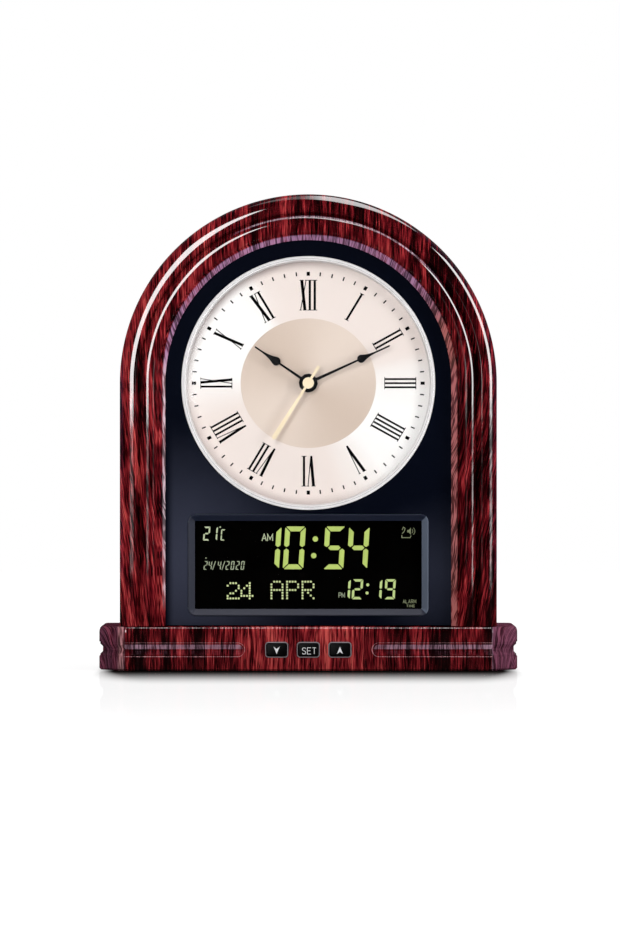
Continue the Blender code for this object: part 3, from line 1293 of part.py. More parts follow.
def cell_body(bm, x, depth, height, way):
    """A round cell along X with its nipple at one end."""
    half = CELL_LENGTH / 2
    profile = (
        (-half, 0),
        (-half, CELL_RADIUS),
        (half, CELL_RADIUS),
        (half, CELL_CAP_RADIUS),
        (half + CELL_CAP_HEIGHT, CELL_CAP_RADIUS),
        (half + CELL_CAP_HEIGHT, 0),
    )
    return turned_along_x(bm, profile, depth, height, x, way)


def turned_along_x(bm, profile, depth, height, x=0, way=1):
    """A body turned about a line along X, from (distance, radius) points."""
    rings = []
    for along, radius in profile:
        place = x + way * along
        if radius == 0:
            rings.append([bm.verts.new((place, depth, height))] * ROUND_STEPS)
            continue
        points = circle(radius, ROUND_STEPS)
        rings.append([bm.verts.new((place, depth + across, height + up)) for across, up in points])
    for first, second in zip(rings, rings[1:]):
        bridge(bm, first, second)
    return bm


# Display stack behind the panel

def display_drop():
    return DISPLAY_CENTRE_HEIGHT - ARCH_CENTRE_HEIGHT


def display_levels():
    bezel_front = PANEL_FRONT - BEZEL_PROUD
    flange_front = PANEL_BACK + SEAT_GAP
    flange_back = flange_front + BEZEL_FLANGE_THICKNESS
    window_front = flange_back + SEAT_GAP
    window_back = window_front + WINDOW_THICKNESS
    cell_front = window_back + SEAT_GAP
    cell_back = cell_front + DISPLAY_THICKNESS
    light_front = cell_back + SEAT_GAP
    light_back = light_front + BACKLIGHT_THICKNESS
    board_front = light_back + SEAT_GAP
    return {
        "bezel_front": bezel_front, "flange_front": flange_front, "flange_back": flange_back,
        "window_front": window_front, "window_back": window_back, "cell_front": cell_front,
        "cell_back": cell_back, "light_front": light_front, "light_back": light_back,
        "board_front": board_front, "board_back": board_front + BOARD_THICKNESS,
    }


def board_pillar_places():
    """Pillar middles about the middle of the arch."""
    across = BOARD_WIDTH / 2 - BOARD_PILLAR_INSET
    up = BOARD_HEIGHT / 2 - BOARD_PILLAR_INSET
    return [(side * across, display_drop() + level * up) for side in (-1, 1) for level in (-1, 1)]


def make_display():
    levels = display_levels()
    place = (0, 0, DISPLAY_CENTRE_HEIGHT)
    window_width = BEZEL_WIDTH - 2 * BEZEL_BORDER
    window_height = BEZEL_HEIGHT - 2 * BEZEL_BORDER
    slope_back = levels["bezel_front"] + BEZEL_SLOPE_DEPTH
    outer = rounded(BEZEL_WIDTH, BEZEL_HEIGHT, BEZEL_RADIUS)
    rim = rounded(BEZEL_WIDTH - 2 * BEZEL_RIM, BEZEL_HEIGHT - 2 * BEZEL_RIM, BEZEL_RADIUS - BEZEL_RIM)
    window = rounded(window_width, window_height, BEZEL_RADIUS - BEZEL_BORDER)
    bm = bmesh.new()
    sections = (
        (window, levels["flange_back"]), (window, slope_back), (rim, levels["bezel_front"]),
        (outer, levels["bezel_front"]), (outer, levels["flange_back"]),
    )
    rings = [[bm.verts.new((x, depth, z)) for x, z in outline] for outline, depth in sections]
    for first, second in zip(rings, rings[1:] + rings[:1]):
        bridge(bm, first, second)
    bezel = add_piece("lcd_bezel", bm, "black_plastic", place)
    bm = bmesh.new()
    ear_half = BEZEL_HEIGHT / 2 - BEZEL_RADIUS
    for side in (-1, 1):
        edge = side * BEZEL_WIDTH / 2
        ear = (edge - side * FUSE_DEPTH, edge + side * BEZEL_FLANGE)
        block(bm, min(ear), max(ear), levels["flange_front"], levels["flange_back"], -ear_half, ear_half)
    fuse(bezel, "ears", bm)
    lap = 2 * DISPLAY_LAP
    glass = rounded(window_width + lap, window_height + lap, BEZEL_RIM, 1)
    for name, layer, finish in (("lcd_window", "window", "clear"), ("lcd_cell", "cell", "screen_black"),
                                ("lcd_backlight", "light", "white_plastic")):
        bm = prism(bmesh.new(), glass, levels[layer + "_front"], levels[layer + "_back"])
        add_piece(name, bm, finish, place)
    front = levels["board_front"]
    back = levels["board_back"]
    bm = prism(bmesh.new(), rounded(BOARD_WIDTH, BOARD_HEIGHT, BEZEL_RADIUS), front, back)
    board = add_piece("main_board", bm, "board_green", place)
    chip = rounded(BOARD_CHIP_SIZE, BOARD_CHIP_SIZE, BEZEL_RIM, 1)
    fuse(board, "chip", prism(bmesh.new(), chip, back - FUSE_DEPTH, back + BOARD_CHIP_HEIGHT,
                              (0, BOARD_CHIP_SIZE)))


# Rear cover, battery box, speaker and jack

def battery_box_height():
    return BATTERY_CELLS * BATTERY_PITCH + 2 * SEAT_GAP


def battery_floor():
    """Front face of the cells' room, behind the door."""
    return door_seat() - 2 * CELL_RADIUS - SEAT_GAP


def door_seat():
    return COVER_BACK - DOOR_THICKNESS - SEAT_GAP


def make_cover():
    centre = (0, 0, ARCH_CENTRE_HEIGHT)
    radius = INNER_RADIUS - COVER_FIT
    bm = prism(bmesh.new(), arch_outline(radius, PANEL_BOTTOM), COVER_FRONT, COVER_BACK)
    cover = add_piece("back_cover", bm, "black_plastic", centre)
    battery = (BATTERY_X, BATTERY_HEIGHT - ARCH_CENTRE_HEIGHT)
    speaker = (SPEAKER_X, SPEAKER_HEIGHT - ARCH_CENTRE_HEIGHT)
    jack = (0, JACK_HEIGHT - ARCH_CENTRE_HEIGHT)
    box_height = battery_box_height()
    wall = 2 * BATTERY_BOX_WALL
    well_front = MOVEMENT_BACK + SEAT_GAP
    bm = bmesh.new()
    well_outer = rounded(WELL_SIZE + 2 * WELL_WALL, WELL_SIZE + 2 * WELL_WALL, WELL_RADIUS + WELL_WALL)
    prism(bm, well_outer, well_front, COVER_FRONT + FUSE_DEPTH)
    box_outer = rounded(BATTERY_LENGTH + wall, box_height + wall, DOOR_RADIUS)
    prism(bm, box_outer, battery_floor() - BATTERY_BOX_WALL, COVER_FRONT + FUSE_DEPTH, battery)
    collar_inner = SPEAKER_RADIUS + COLLAR_CLEARANCE
    collar = (
        (collar_inner, COVER_FRONT + FUSE_DEPTH),
        (collar_inner + COLLAR_WALL, COVER_FRONT + FUSE_DEPTH),
        (collar_inner + COLLAR_WALL, COVER_FRONT - SPEAKER_COLLAR_DEPTH),
        (collar_inner, COVER_FRONT - SPEAKER_COLLAR_DEPTH),
    )
    turned(bm, collar, BIG_ROUND_STEPS, speaker, closed=True)
    fuse(cover, "walls", bm)
    bm = bmesh.new()
    well = rounded(WELL_SIZE, WELL_SIZE, WELL_RADIUS)
    prism(bm, well, well_front + WELL_LIP_THICKNESS, COVER_BACK + CUT_OVERRUN)
    prism(bm, rounded(BATTERY_LENGTH, box_height, BUTTON_RADIUS), battery_floor(),
          COVER_BACK + CUT_OVERRUN, battery)
    for index in range(GRILLE_SLOTS):
        level = (index - (GRILLE_SLOTS - 1) / 2) * GRILLE_PITCH
        width = 2 * math.sqrt(GRILLE_RADIUS ** 2 - level ** 2)
        slot = rounded(width, GRILLE_SLOT, GRILLE_SLOT * GRILLE_ROUND_SHARE, 1)
        middle = (speaker[0], speaker[1] + level)
        prism(bm, slot, COVER_FRONT - CUT_OVERRUN, COVER_BACK + CUT_OVERRUN, middle)
    disc(bm, JACK_BARREL_RADIUS + SLIDE_GAP, COVER_FRONT - CUT_OVERRUN, COVER_BACK + CUT_OVERRUN,
         ROUND_STEPS, jack)
    places = arch_places(REAR_BOSS_REACH, REAR_ARC_ANGLES, REAR_LEG_SHARES)
    for place in places:
        disc(bm, SCREW_RADIUS + SLIDE_GAP, COVER_FRONT - CUT_OVERRUN, COVER_BACK + CUT_OVERRUN,
             SMALL_STEPS, place)
    cut(cover, "openings", bm)
    bm = bmesh.new()
    lip_size = WELL_SIZE - 2 * WELL_LIP
    lip = rounded(lip_size, lip_size, WELL_RADIUS - WELL_LIP)
    prism(bm, lip, well_front - CUT_OVERRUN, well_front + WELL_LIP_THICKNESS + CUT_OVERRUN)
    door_width = BATTERY_LENGTH + 2 * DOOR_LAP
    door_height = box_height + 2 * DOOR_LAP
    seat = rounded(door_width + 2 * SEAT_GAP, door_height + 2 * SEAT_GAP, DOOR_RADIUS + SEAT_GAP)
    prism(bm, seat, door_seat(), COVER_BACK + CUT_OVERRUN, battery)
    cut(cover, "seats", bm)
    for index, (x, z) in enumerate(places):
        bm = screw(bmesh.new(), COVER_BACK + SEAT_GAP, BACK_SCREW_LENGTH, SCREW_RADIUS, SCREW_HEAD_RADIUS,
                   SCREW_HEAD_HEIGHT, (0, 0))
        add_piece("back_screw_" + str(index + 1), bm, "steel", (x, 0, ARCH_CENTRE_HEIGHT + z))

    door_axis = add_axis("door_axis", (BATTERY_X, COVER_BACK, BATTERY_HEIGHT))
    door_front = door_seat() + SEAT_GAP - COVER_BACK
    bm = prism(bmesh.new(), rounded(door_width, door_height, DOOR_RADIUS), door_front, 0)
    door = add_piece("battery_door", bm, "black_plastic", parent=door_axis)
    grip_height = door_height / 2 - 2 * DOOR_GRIP_HEIGHT
    grip = rounded(DOOR_GRIP_WIDTH, DOOR_GRIP_HEIGHT, DOOR_GRIP_HEIGHT / 2)
    cut(door, "grip", prism(bmesh.new(), grip, -DOOR_GRIP_DEPTH, CUT_OVERRUN, (0, grip_height)))

    cell_depth = battery_floor() + ROUND_GAP + CELL_RADIUS
    for index in range(BATTERY_CELLS):
        height = BATTERY_HEIGHT + (index - (BATTERY_CELLS - 1) / 2) * BATTERY_PITCH
        way = 1 if index % 2 else -1
        flat_end = BATTERY_X + way * BATTERY_LENGTH / 2
        cell_x = flat_end - way * (SEAT_GAP + CELL_CAP_HEIGHT + CELL_LENGTH / 2)
        bm = cell_body(bmesh.new(), 0, 0, 0, way)
        add_piece("battery_cell_" + str(index + 1), bm, "cell_sleeve", (cell_x, cell_depth, height))


def make_speaker():
    place = (SPEAKER_X, 0, SPEAKER_HEIGHT)
    face = COVER_FRONT - SEAT_GAP
    flange_front = face - SPEAKER_FLANGE_THICKNESS
    floor_depth = face - SPEAKER_BASKET_DEPTH
    mouth = SPEAKER_RADIUS - SPEAKER_FLANGE_WIDTH
    basket = (
        (0, floor_depth - SPEAKER_WALL),
        (MAGNET_RADIUS, floor_depth - SPEAKER_WALL),
        (mouth + SPEAKER_WALL, flange_front - SPEAKER_WALL),
        (SPEAKER_RADIUS, flange_front),
        (SPEAKER_RADIUS, face),
        (mouth, face),
        (mouth, flange_front),
        (MAGNET_RADIUS, floor_depth),
        (0, floor_depth),
    )
    add_piece("speaker_basket", turned(bmesh.new(), basket, BIG_ROUND_STEPS), "steel", place)
    magnet_back = floor_depth - SPEAKER_WALL - SEAT_GAP
    bevel = SPEAKER_WALL / 2
    magnet = (
        (0, magnet_back),
        (MAGNET_RADIUS - bevel, magnet_back),
        (MAGNET_RADIUS, magnet_back - bevel),
        (MAGNET_RADIUS, magnet_back - MAGNET_DEPTH),
        (0, magnet_back - MAGNET_DEPTH),
    )
    add_piece("speaker_magnet", turned(bmesh.new(), magnet, BIG_ROUND_STEPS), "magnet_grey", place)
    edge = mouth - ROUND_GAP
    cone_back = face - ROUND_GAP
    cone = (
        (0, cone_back - CONE_DEPTH + DUST_CAP_RADIUS / 4),
        (DUST_CAP_RADIUS / 2, cone_back - CONE_DEPTH + DUST_CAP_RADIUS / 5),
        (DUST_CAP_RADIUS, cone_back - CONE_DEPTH),
        (edge - CONE_DEPTH / 2, cone_back - CONE_WALL),
        (edge - CONE_DEPTH / 4, cone_back),
        (edge, cone_back - CONE_WALL),
        (edge, cone_back - 2 * CONE_WALL),
        (edge - CONE_DEPTH / 2, cone_back - 2 * CONE_WALL),
        (DUST_CAP_RADIUS, cone_back - CONE_DEPTH - CONE_WALL),
        (0, cone_back - CONE_DEPTH - CONE_WALL),
    )
    add_piece("speaker_cone", turned(bmesh.new(), cone, BIG_ROUND_STEPS), "paper_black", place)


def make_jack():
    place = (0, 0, JACK_HEIGHT)
    body_back = COVER_FRONT - SEAT_GAP
    body_front = body_back - JACK_BODY_LENGTH
    mouth = COVER_BACK + JACK_PROUD
    floor_depth = mouth - JACK_BORE_DEPTH
    jack = (
        (0, body_front),
        (JACK_BODY_RADIUS, body_front),
        (JACK_BODY_RADIUS, body_back),
        (JACK_BARREL_RADIUS, body_back),
        (JACK_BARREL_RADIUS, mouth),
        (JACK_BORE_RADIUS, mouth),
        (JACK_BORE_RADIUS, floor_depth),
        (JACK_PIN_RADIUS, floor_depth),
        (JACK_PIN_RADIUS, mouth - JACK_PIN_RADIUS),
        (0, mouth - JACK_PIN_RADIUS),
    )
    add_piece("dc_jack", turned(bmesh.new(), jack, ROUND_STEPS), "black_plastic", place)
    nut_front = COVER_BACK + SEAT_GAP
    nut_back = nut_front + JACK_NUT_HEIGHT
    bm = prism(bmesh.new(), circle(JACK_NUT_RADIUS, NUT_SIDES), nut_front, nut_back)
    nut = add_piece("jack_nut", bm, "steel", place)
    cut(nut, "bore", disc(bmesh.new(), JACK_BARREL_RADIUS + ROUND_GAP, nut_front - CUT_OVERRUN,
                          nut_back + CUT_OVERRUN, ROUND_STEPS))


def main():
    clear_scene()
    make_base()
    make_buttons()
    make_arch()
    make_panel()
    make_dial()
    axes = make_hands()
    make_movement(*axes)
    make_display()
    make_cover()
    make_speaker()
    make_jack()


main()
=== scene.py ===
"""Finish, printing and lighting of an arched mantel clock with a quartz dial and a lit display.

Metres, +Z up, the dial faces -Y. Every place comes from the loaded frame or from a named size.
"""

import json
import math

import bmesh
import bpy
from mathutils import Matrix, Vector

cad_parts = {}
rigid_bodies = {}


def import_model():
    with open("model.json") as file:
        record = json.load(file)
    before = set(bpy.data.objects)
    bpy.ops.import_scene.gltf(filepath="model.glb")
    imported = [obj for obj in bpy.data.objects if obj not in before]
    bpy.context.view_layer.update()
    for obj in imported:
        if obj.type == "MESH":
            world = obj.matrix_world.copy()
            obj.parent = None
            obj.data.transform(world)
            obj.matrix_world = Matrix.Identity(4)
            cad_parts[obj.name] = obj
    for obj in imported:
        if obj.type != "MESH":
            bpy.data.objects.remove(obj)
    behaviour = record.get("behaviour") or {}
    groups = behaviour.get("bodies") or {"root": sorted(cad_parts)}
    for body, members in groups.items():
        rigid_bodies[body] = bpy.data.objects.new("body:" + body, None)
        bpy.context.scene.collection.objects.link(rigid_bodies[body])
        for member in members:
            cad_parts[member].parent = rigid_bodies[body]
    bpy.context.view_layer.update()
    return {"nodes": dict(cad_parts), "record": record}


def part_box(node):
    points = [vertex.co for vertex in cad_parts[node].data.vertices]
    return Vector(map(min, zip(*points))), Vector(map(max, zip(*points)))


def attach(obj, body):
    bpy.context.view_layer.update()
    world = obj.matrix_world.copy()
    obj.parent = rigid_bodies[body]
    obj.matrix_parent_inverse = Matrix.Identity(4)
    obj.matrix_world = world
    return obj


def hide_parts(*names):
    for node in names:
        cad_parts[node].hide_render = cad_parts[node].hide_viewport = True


bl_info = {
    "name": "Arched Mantel Clock",
    "version": (1, 0, 0),
    "blender": (4, 5, 0),
    "location": "View3D > Sidebar > Clock",
    "description": "Dresses the frame of an arched mantel clock with its finishes, dial and display",
    "category": "Object",
}

for left_over in list(bpy.data.objects):
    bpy.data.objects.remove(left_over, do_unlink=True)
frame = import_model()

# Places that come from the frame
ARCH_LOW, ARCH_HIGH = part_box("arch_case")
BASE_LOW, BASE_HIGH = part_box("base_case")
RING_LOW, RING_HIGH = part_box("dial_ring")
LENS_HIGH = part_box("dial_lens")[1]
DIAL_LOW, DIAL_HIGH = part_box("dial_plate")
BEZEL_LOW, BEZEL_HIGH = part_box("lcd_bezel")
CELL_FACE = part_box("lcd_cell")[0].y
COVER_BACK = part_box("back_cover")[1].y
KEYS_LOW, KEYS_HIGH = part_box("key_board")
BOARD_LOW, BOARD_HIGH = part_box("main_board")
ARCH_RADIUS = ARCH_HIGH.x
DIAL_CENTRE = (DIAL_HIGH.z + DIAL_LOW.z) / 2
DIAL_RADIUS = DIAL_HIGH.x
DISPLAY_CENTRE = (BEZEL_LOW.z + BEZEL_HIGH.z) / 2

# Facets
ARCH_STEPS = 120
BEAD_STEPS = 14
ROUND_STEPS = 160
CORNER_STEPS = 10
PRINT_THICKNESS = 0.00005
SHADE_ANGLE = 34
ARCH_SHADE_ANGLE = 40
BEZEL_SHADE_ANGLE = 24
RING_EDGE = PRINT_THICKNESS * 4
WELD_DISTANCE = 0.000002
FLAT_ANGLE = 1.0


# Settings that a user would change

def length(name, description, default):
    return bpy.props.FloatProperty(name=name, description=description, default=default, precision=5,
                                   unit="LENGTH", subtype="DISTANCE")


def share(name, description, default, limit=1):
    return bpy.props.FloatProperty(name=name, description=description, default=default,
                                   min=0, max=limit, subtype="FACTOR")


def colour(name, description, default):
    return bpy.props.FloatVectorProperty(name=name, description=description, default=default,
                                         min=0, max=1, size=3, subtype="COLOR")


class CaseSettings(bpy.types.PropertyGroup):
    """Mouldings and film of the housing, and the painted light on its chamfer, flutes and end facets."""
    outer_bead_width: length("Outer bead width", "From the step to the outer edge", 0.0110)
    outer_bead_far: length("Outer bead far width", "From its crown to the outer edge", 0.0087)
    outer_bead_start: length("Outer bead start", "Rise of its foot at the step", 0.0055)
    outer_bead_rise: length("Outer bead rise", "Rise of its crown over the lip", 0.0105)
    outer_bead_end: length("Outer bead end", "Rise where it meets the side", 0.0050)
    step_width: length("Step width", "Ledge between the two beads", 0.0006)
    inner_bead_width: length("Inner bead width", "From the chamfer to the step", 0.0113)
    inner_bead_far: length("Inner bead far width", "From its crown to the step", 0.0055)
    inner_bead_start: length("Inner bead start", "Rise of its foot at the chamfer", 0.0031)
    inner_bead_rise: length("Inner bead rise", "Rise of its crown over the lip", 0.0094)
    inner_bead_end: length("Inner bead end", "Rise of its foot at the step", 0.0050)
    lip_width: length("Lip chamfer width", "Sloped face beside the panel", 0.0036)
    lip_thickness: length("Lip thickness", "Sheet thickness behind the chamfer", 0.0010)
    wall: length("Wall", "Thickness of the housing's side", 0.0026)
    bead_wall: length("Bead wall", "Thickness behind the outer bead", 0.0031)
    rear_bevel: length("Rear bevel", "Broken edge at the rear", 0.0006)
    film_dark: colour("Film dark", "Pores and shadows of the printed grain", (0.0055, 0.0003, 0.0006))
    film_mid: colour("Film middle", "Ground colour of the printed grain", (0.098, 0.0040, 0.0072))
    film_bright: colour("Film bright", "Light streaks of the printed grain", (0.330, 0.023, 0.029))
    film_flare: colour("Film flare", "Brightest streaks of the printed grain", (0.620, 0.090, 0.080))
    # Painted light on the arch's inner chamfer: a cool painted reflection at the upper left, a pale painted
    # highlight down the left leg and along the inner bead's crown, and warm painted light at the right.
    lip_cool: colour("Lip cool", "Light film on the chamfer at the upper left", (0.520, 0.270, 0.480))
    lip_pale: colour("Lip pale", "Light film on the chamfer of the left leg", (0.800, 0.620, 0.700))
    lip_warm: colour("Lip warm", "Light film on the chamfer at the right", (0.620, 0.200, 0.190))
    # Painted light on the plinth: a painted reflection on the flutes' upper slope, a painted highlight on their
    # rim and along the left end facet's front edge, and a painted reflection on the end facets.
    flute_tint: colour("Flute tint", "Light film on the upper slope of the flutes", (0.850, 0.500, 0.680))
    flute_line: colour("Flute line", "Light film on the rim of the flutes", (0.900, 0.460, 0.480))
    facet_tint: colour("Facet tint", "Cooler film on the plinth's end facets", (0.230, 0.075, 0.130))


class DialSettings(bpy.types.PropertyGroup):
    """Dial, its printing, its painted sheen and shade, trim ring and lens."""
    rim_width: length("Trim ring width", "Flat front face of the ring round the dial", 0.0024)
    rim_taper: length("Trim ring taper", "How far its bore closes towards the dial", 0.0007)
    lens_wall: length("Lens wall", "Thickness of the clear lens", 0.0014)
    lens_edge: length("Lens edge", "Upright edge of the lens", 0.0008)
    lens_round: length("Lens edge radius", "Rounding between its edge and its face", 0.0019)
    lens_crown: length("Lens crown", "How far its middle stands over its edge", 0.0010)
    track_radius: length("Minute track", "Middle of the minute marks", 0.0659)
    tick_length: length("Mark length", "Length of a minute mark", 0.0024)
    minute_width: length("Minute mark width", "Width of a minute mark", 0.00078)
    hour_width: length("Hour mark width", "Width of an hour mark", 0.0019)
    numeral_foot: length("Numeral foot", "Inner end of the numerals", 0.0438)
    numeral_height: length("Numeral height", "Radial height of the numerals", 0.0184)
    centre_radius: length("Centre disc", "Radius of the tan centre", 0.0390)
    bush_radius: length("Bush hole", "Hole in the middle of the dial", 0.00425)
    stretch_across: share("Print width", "Printing's width over round", 1.022, 2)
    stretch_up: share("Print height", "Printing's height over round", 0.978, 2)
    cream: colour("Cream", "Ground colour of the dial", (0.815, 0.715, 0.665))
    # Painted sheen: the pale colour where the dial's rays would catch the light
    pearl: colour("Pearl", "Where the dial's rays catch the light", (0.94, 0.925, 0.905))
    centre_tan: colour("Centre tan", "Printed centre of the dial", (0.66, 0.545, 0.455))
    rim_shade: colour("Rim shade", "Soft shade inside the trim ring", (0.34, 0.27, 0.26))


class DisplaySettings(bpy.types.PropertyGroup):
    """Display bezel with its painted light and shade, and the lit signs."""
    border: length("Border", "Width of the bezel's frame", 0.0039)
    edge_rim: length("Edge rim", "Flat outer edge of the bezel", 0.0006)
    corner: length("Corner", "Outer corner radius of the bezel", 0.0045)
    slope_depth: length("Slope depth", "Depth of the bezel's slope", 0.0025)
    ear: length("Ear", "How far the fixing ears stand out behind the panel", 0.0030)
    ear_thickness: length("Ear thickness", "Thickness of the fixing ears", 0.0015)
    # Painted light and shade of the bezel's four sloped sides, by the way each side faces the lamps
    bezel_left: colour("Bezel left", "Left side of the bezel", (0.034, 0.038, 0.056))
    bezel_right: colour("Bezel right", "Right side of the bezel", (0.115, 0.140, 0.190))
    bezel_top: colour("Bezel top", "Upper side of the bezel", (0.0122, 0.017, 0.035))
    bezel_bottom: colour("Bezel bottom", "Lower side of the bezel", (0.025, 0.027, 0.043))
    lit: colour("Lit green", "Large lit segments", (0.47, 0.60, 0.125))
    lit_small: colour("Small lit green", "Alarm time", (0.52, 0.65, 0.24))
    lit_dots: colour("Lit dots", "Dot matrix words", (0.62, 0.71, 0.33))
    lit_pale: colour("Pale green", "Small lit signs", (0.48, 0.55, 0.34))
    lit_date: colour("Date green", "Small date", (0.33, 0.38, 0.25))
    lit_dim: colour("Dim sign", "Faint printed signs", (0.17, 0.19, 0.10))


class ButtonSettings(bpy.types.PropertyGroup):
    """Push buttons in the plinth."""
    cap_corner: length("Cap corner", "Corner radius of a cap", 0.0012)
    cap_edge: length("Cap edge", "Rounded front edge of a cap", 0.0005)
    rim_width: length("Rim width", "Width of the trim round a cap", 0.0005)
    rim_gap: length("Rim gap", "Air between cap and trim", 0.00025)
    rim_proud: length("Rim rise", "How far the trim stands over the plinth", 0.0003)
    rim_depth: length("Rim depth", "How deep the trim is let in", 0.0010)


class StageSettings(bpy.types.PropertyGroup):
    """Floor, lamps and camera."""
    camera_distance: length("Camera distance", "From the clock's front to the camera", 2.403)
    camera_height: length("Camera height", "Height of the camera over the floor", 0.1208)
    camera_across: length("Camera place", "Camera's place along X", 0.001)
    view_height: length("View height", "Height that the picture takes in at the front", 0.544)
    floor_size: length("Floor size", "Radius of the round floor", 2.2)
    ambient: share("Ambient", "Level of the light from the front half", 0.08)
    ambient_behind: share("Ambient behind", "Level of the light from the rear half", 0.75)
    front_dark: share("Front", "Level of the studio seen in gloss from the front", 0.004)
    side_tint: colour("Sides", "Light seen in gloss at the clock's sides", (0.13, 0.06, 0.14))


SETTINGS = (
    ("clock_case", CaseSettings),
    ("clock_dial", DialSettings),
    ("clock_display", DisplaySettings),
    ("clock_buttons", ButtonSettings),
    ("clock_stage", StageSettings),
)


# Meshes

def smoothed(mesh, angle=SHADE_ANGLE):
    mesh.shade_smooth()
    mesh.set_sharp_from_angle(angle=math.radians(angle))
    return mesh


def finished_mesh(name, bm, angle=SHADE_ANGLE):
    bmesh.ops.recalc_face_normals(bm, faces=bm.faces)
    mesh = bpy.data.meshes.new(name)
    bm.to_mesh(mesh)
    bm.free()
    return smoothed(mesh, angle)


def add_object(name, data):
    thing = bpy.data.objects.new(name, data)
    bpy.context.scene.collection.objects.link(thing)
    return thing


def add_piece(name, shape, finish, replaces=(), body="housing", angle=SHADE_ANGLE):
    """One finished piece, riding on its body."""
    mesh = shape if isinstance(shape, bpy.types.Mesh) else finished_mesh(name, shape, angle)
    piece = add_object(name, mesh)
    if not mesh.materials:
        mesh.materials.append(MATERIALS[finish])
    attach(piece, body)
    if replaces:
        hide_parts(*replaces)
    return piece


def carve(mesh, cutters):
    """The mesh with the cutters taken out, as a new mesh."""
    block = add_object("block", mesh)
    spare = [block]
    for cutter in cutters:
        step = block.modifiers.new("cut", "BOOLEAN")
        step.operation = "DIFFERENCE"
        step.solver = "EXACT"
        step.object = add_object("tool", cutter)
        spare.append(step.object)
    graph = bpy.context.evaluated_depsgraph_get()
    made = bpy.data.meshes.new_from_object(block.evaluated_get(graph), depsgraph=graph)
    for thing in spare:
        bpy.data.objects.remove(thing, do_unlink=True)
    return smoothed(made)


def bridge(bm, first, second):
    """Faces between two rings, as triangles where a ring is one point."""
    count = len(first)
    for index in range(count):
        after = (index + 1) % count
        corners = dict.fromkeys((first[index], first[after], second[after], second[index]))
        bm.faces.new(list(corners))


def skin(bm, rings, closed=False, capped=False):
    """Faces between rings of corners, closed on itself or with flat ends."""
    for first, second in zip(rings, rings[1:]):
        bridge(bm, first, second)
    if closed:
        bridge(bm, rings[-1], rings[0])
    if capped:
        bm.faces.new(rings[0])
        bm.faces.new(rings[-1][::-1])
    return bm


def loft(sections, closed=False, bm=None):
    """A skin through (outline, depth) sections, with flat ends or closed on itself."""
    bm = bmesh.new() if bm is None else bm
    rings = [[bm.verts.new((x, depth, z)) for x, z in outline] for outline, depth in sections]
    return skin(bm, rings, closed, not closed)


def prism(outline, front, back, bm=None):
    return loft(((outline, front), (outline, back)), bm=bm)


def circle(radius, steps, centre=(0, 0)):
    turn = 2 * math.pi / steps
    return [(centre[0] + radius * math.cos(turn * index), centre[1] + radius * math.sin(turn * index))
            for index in range(steps)]


def turned(profile, steps, centre=(0, 0), closed=False):
    """A body turned about a line along Y from (radius, depth) points."""
    bm = bmesh.new()
    rings = []
    for radius, depth in profile:
        if radius == 0:
            rings.append([bm.verts.new((centre[0], depth, centre[1]))] * steps)
        else:
            rings.append([bm.verts.new((x, depth, z)) for x, z in circle(radius, steps, centre)])
    return skin(bm, rings, closed)


def rounded(width, height, radius, centre=(0, 0), steps=CORNER_STEPS):
    """A rectangle with round corners."""
    points = []
    for turn, (side, level) in enumerate(((1, 1), (-1, 1), (-1, -1), (1, -1))):
        x = centre[0] + side * (width / 2 - radius)
        z = centre[1] + level * (height / 2 - radius)
        for index in range(steps + 1):
            angle = math.pi / 2 * (turn + index / steps)
            points.append((x + radius * math.cos(angle), z + radius * math.sin(angle)))
    return points


def quarter(start, end, steps, bulge_first):
    """Points of a quarter ellipse from start to end, flat or steep at its start."""
    points = []
    for index in range(steps + 1):
        angle = math.pi / 2 * index / steps
        grow, ease = math.sin(angle), 1 - math.cos(angle)
        along, rise = (ease, grow) if bulge_first else (grow, ease)
        points.append((start[0] + (end[0] - start[0]) * along, start[1] + (end[1] - start[1]) * rise))
    return points


def ribbon(points, width):
    """The outline of a flat stroke of one width along a line, with mitred bends."""
    left, right = [], []
    for index, (x, z) in enumerate(points):
        before = points[max(index - 1, 0)]
        after = points[min(index + 1, len(points) - 1)]
        into = Vector((x - before[0], z - before[1]))
        out = Vector((after[0] - x, after[1] - z))
        into = (into if into.length else out).normalized()
        out = (out if out.length else into).normalized()
        bisector = (into + out).normalized()
        normal = Vector((-bisector.y, bisector.x))
        reach = width / 2 / max(normal.dot(Vector((-into.y, into.x))), 0.4)
        left.append((x + normal.x * reach, z + normal.y * reach))
        right.append((x - normal.x * reach, z - normal.y * reach))
    return right + left[::-1]


def add_print(name, outlines, face, finish, body="housing"):
    """Flat signs that stand a hair over a face that looks to the front."""
    bm = bmesh.new()
    for outline in outlines:
        prism(outline, face - PRINT_THICKNESS, face, bm)
    return add_piece(name, bm, finish, body=body)


# Shader values

class Flow:
    """A shader value that adds the nodes for plain arithmetic with it."""

    def __init__(self, socket):
        self.socket = socket
        self.tree = socket.id_data

    def __add__(self, other):
        return maths("ADD", self, other)

    def __sub__(self, other):
        return maths("SUBTRACT", self, other)

    def __rsub__(self, other):
        return maths("SUBTRACT", other, self)

    def __mul__(self, other):
        return maths("MULTIPLY", self, other)

    def __truediv__(self, other):
        return maths("DIVIDE", self, other)

    def __abs__(self):
        return maths("ABSOLUTE", self)

    def spread(self, low, high, start=0.0, end=1.0):
        """The value stretched from one range to another, smoothly."""
        return Flow(add_node(self.tree, "ShaderNodeMapRange", {0: self, 1: low, 2: high, 3: start, 4: end},
                             interpolation_type="SMOOTHSTEP").outputs[0])

    def band(self, low, high, soft):
        """One inside a range and none outside, with soft ends."""
        return self.spread(low - soft, low + soft) * self.spread(high + soft, high - soft)


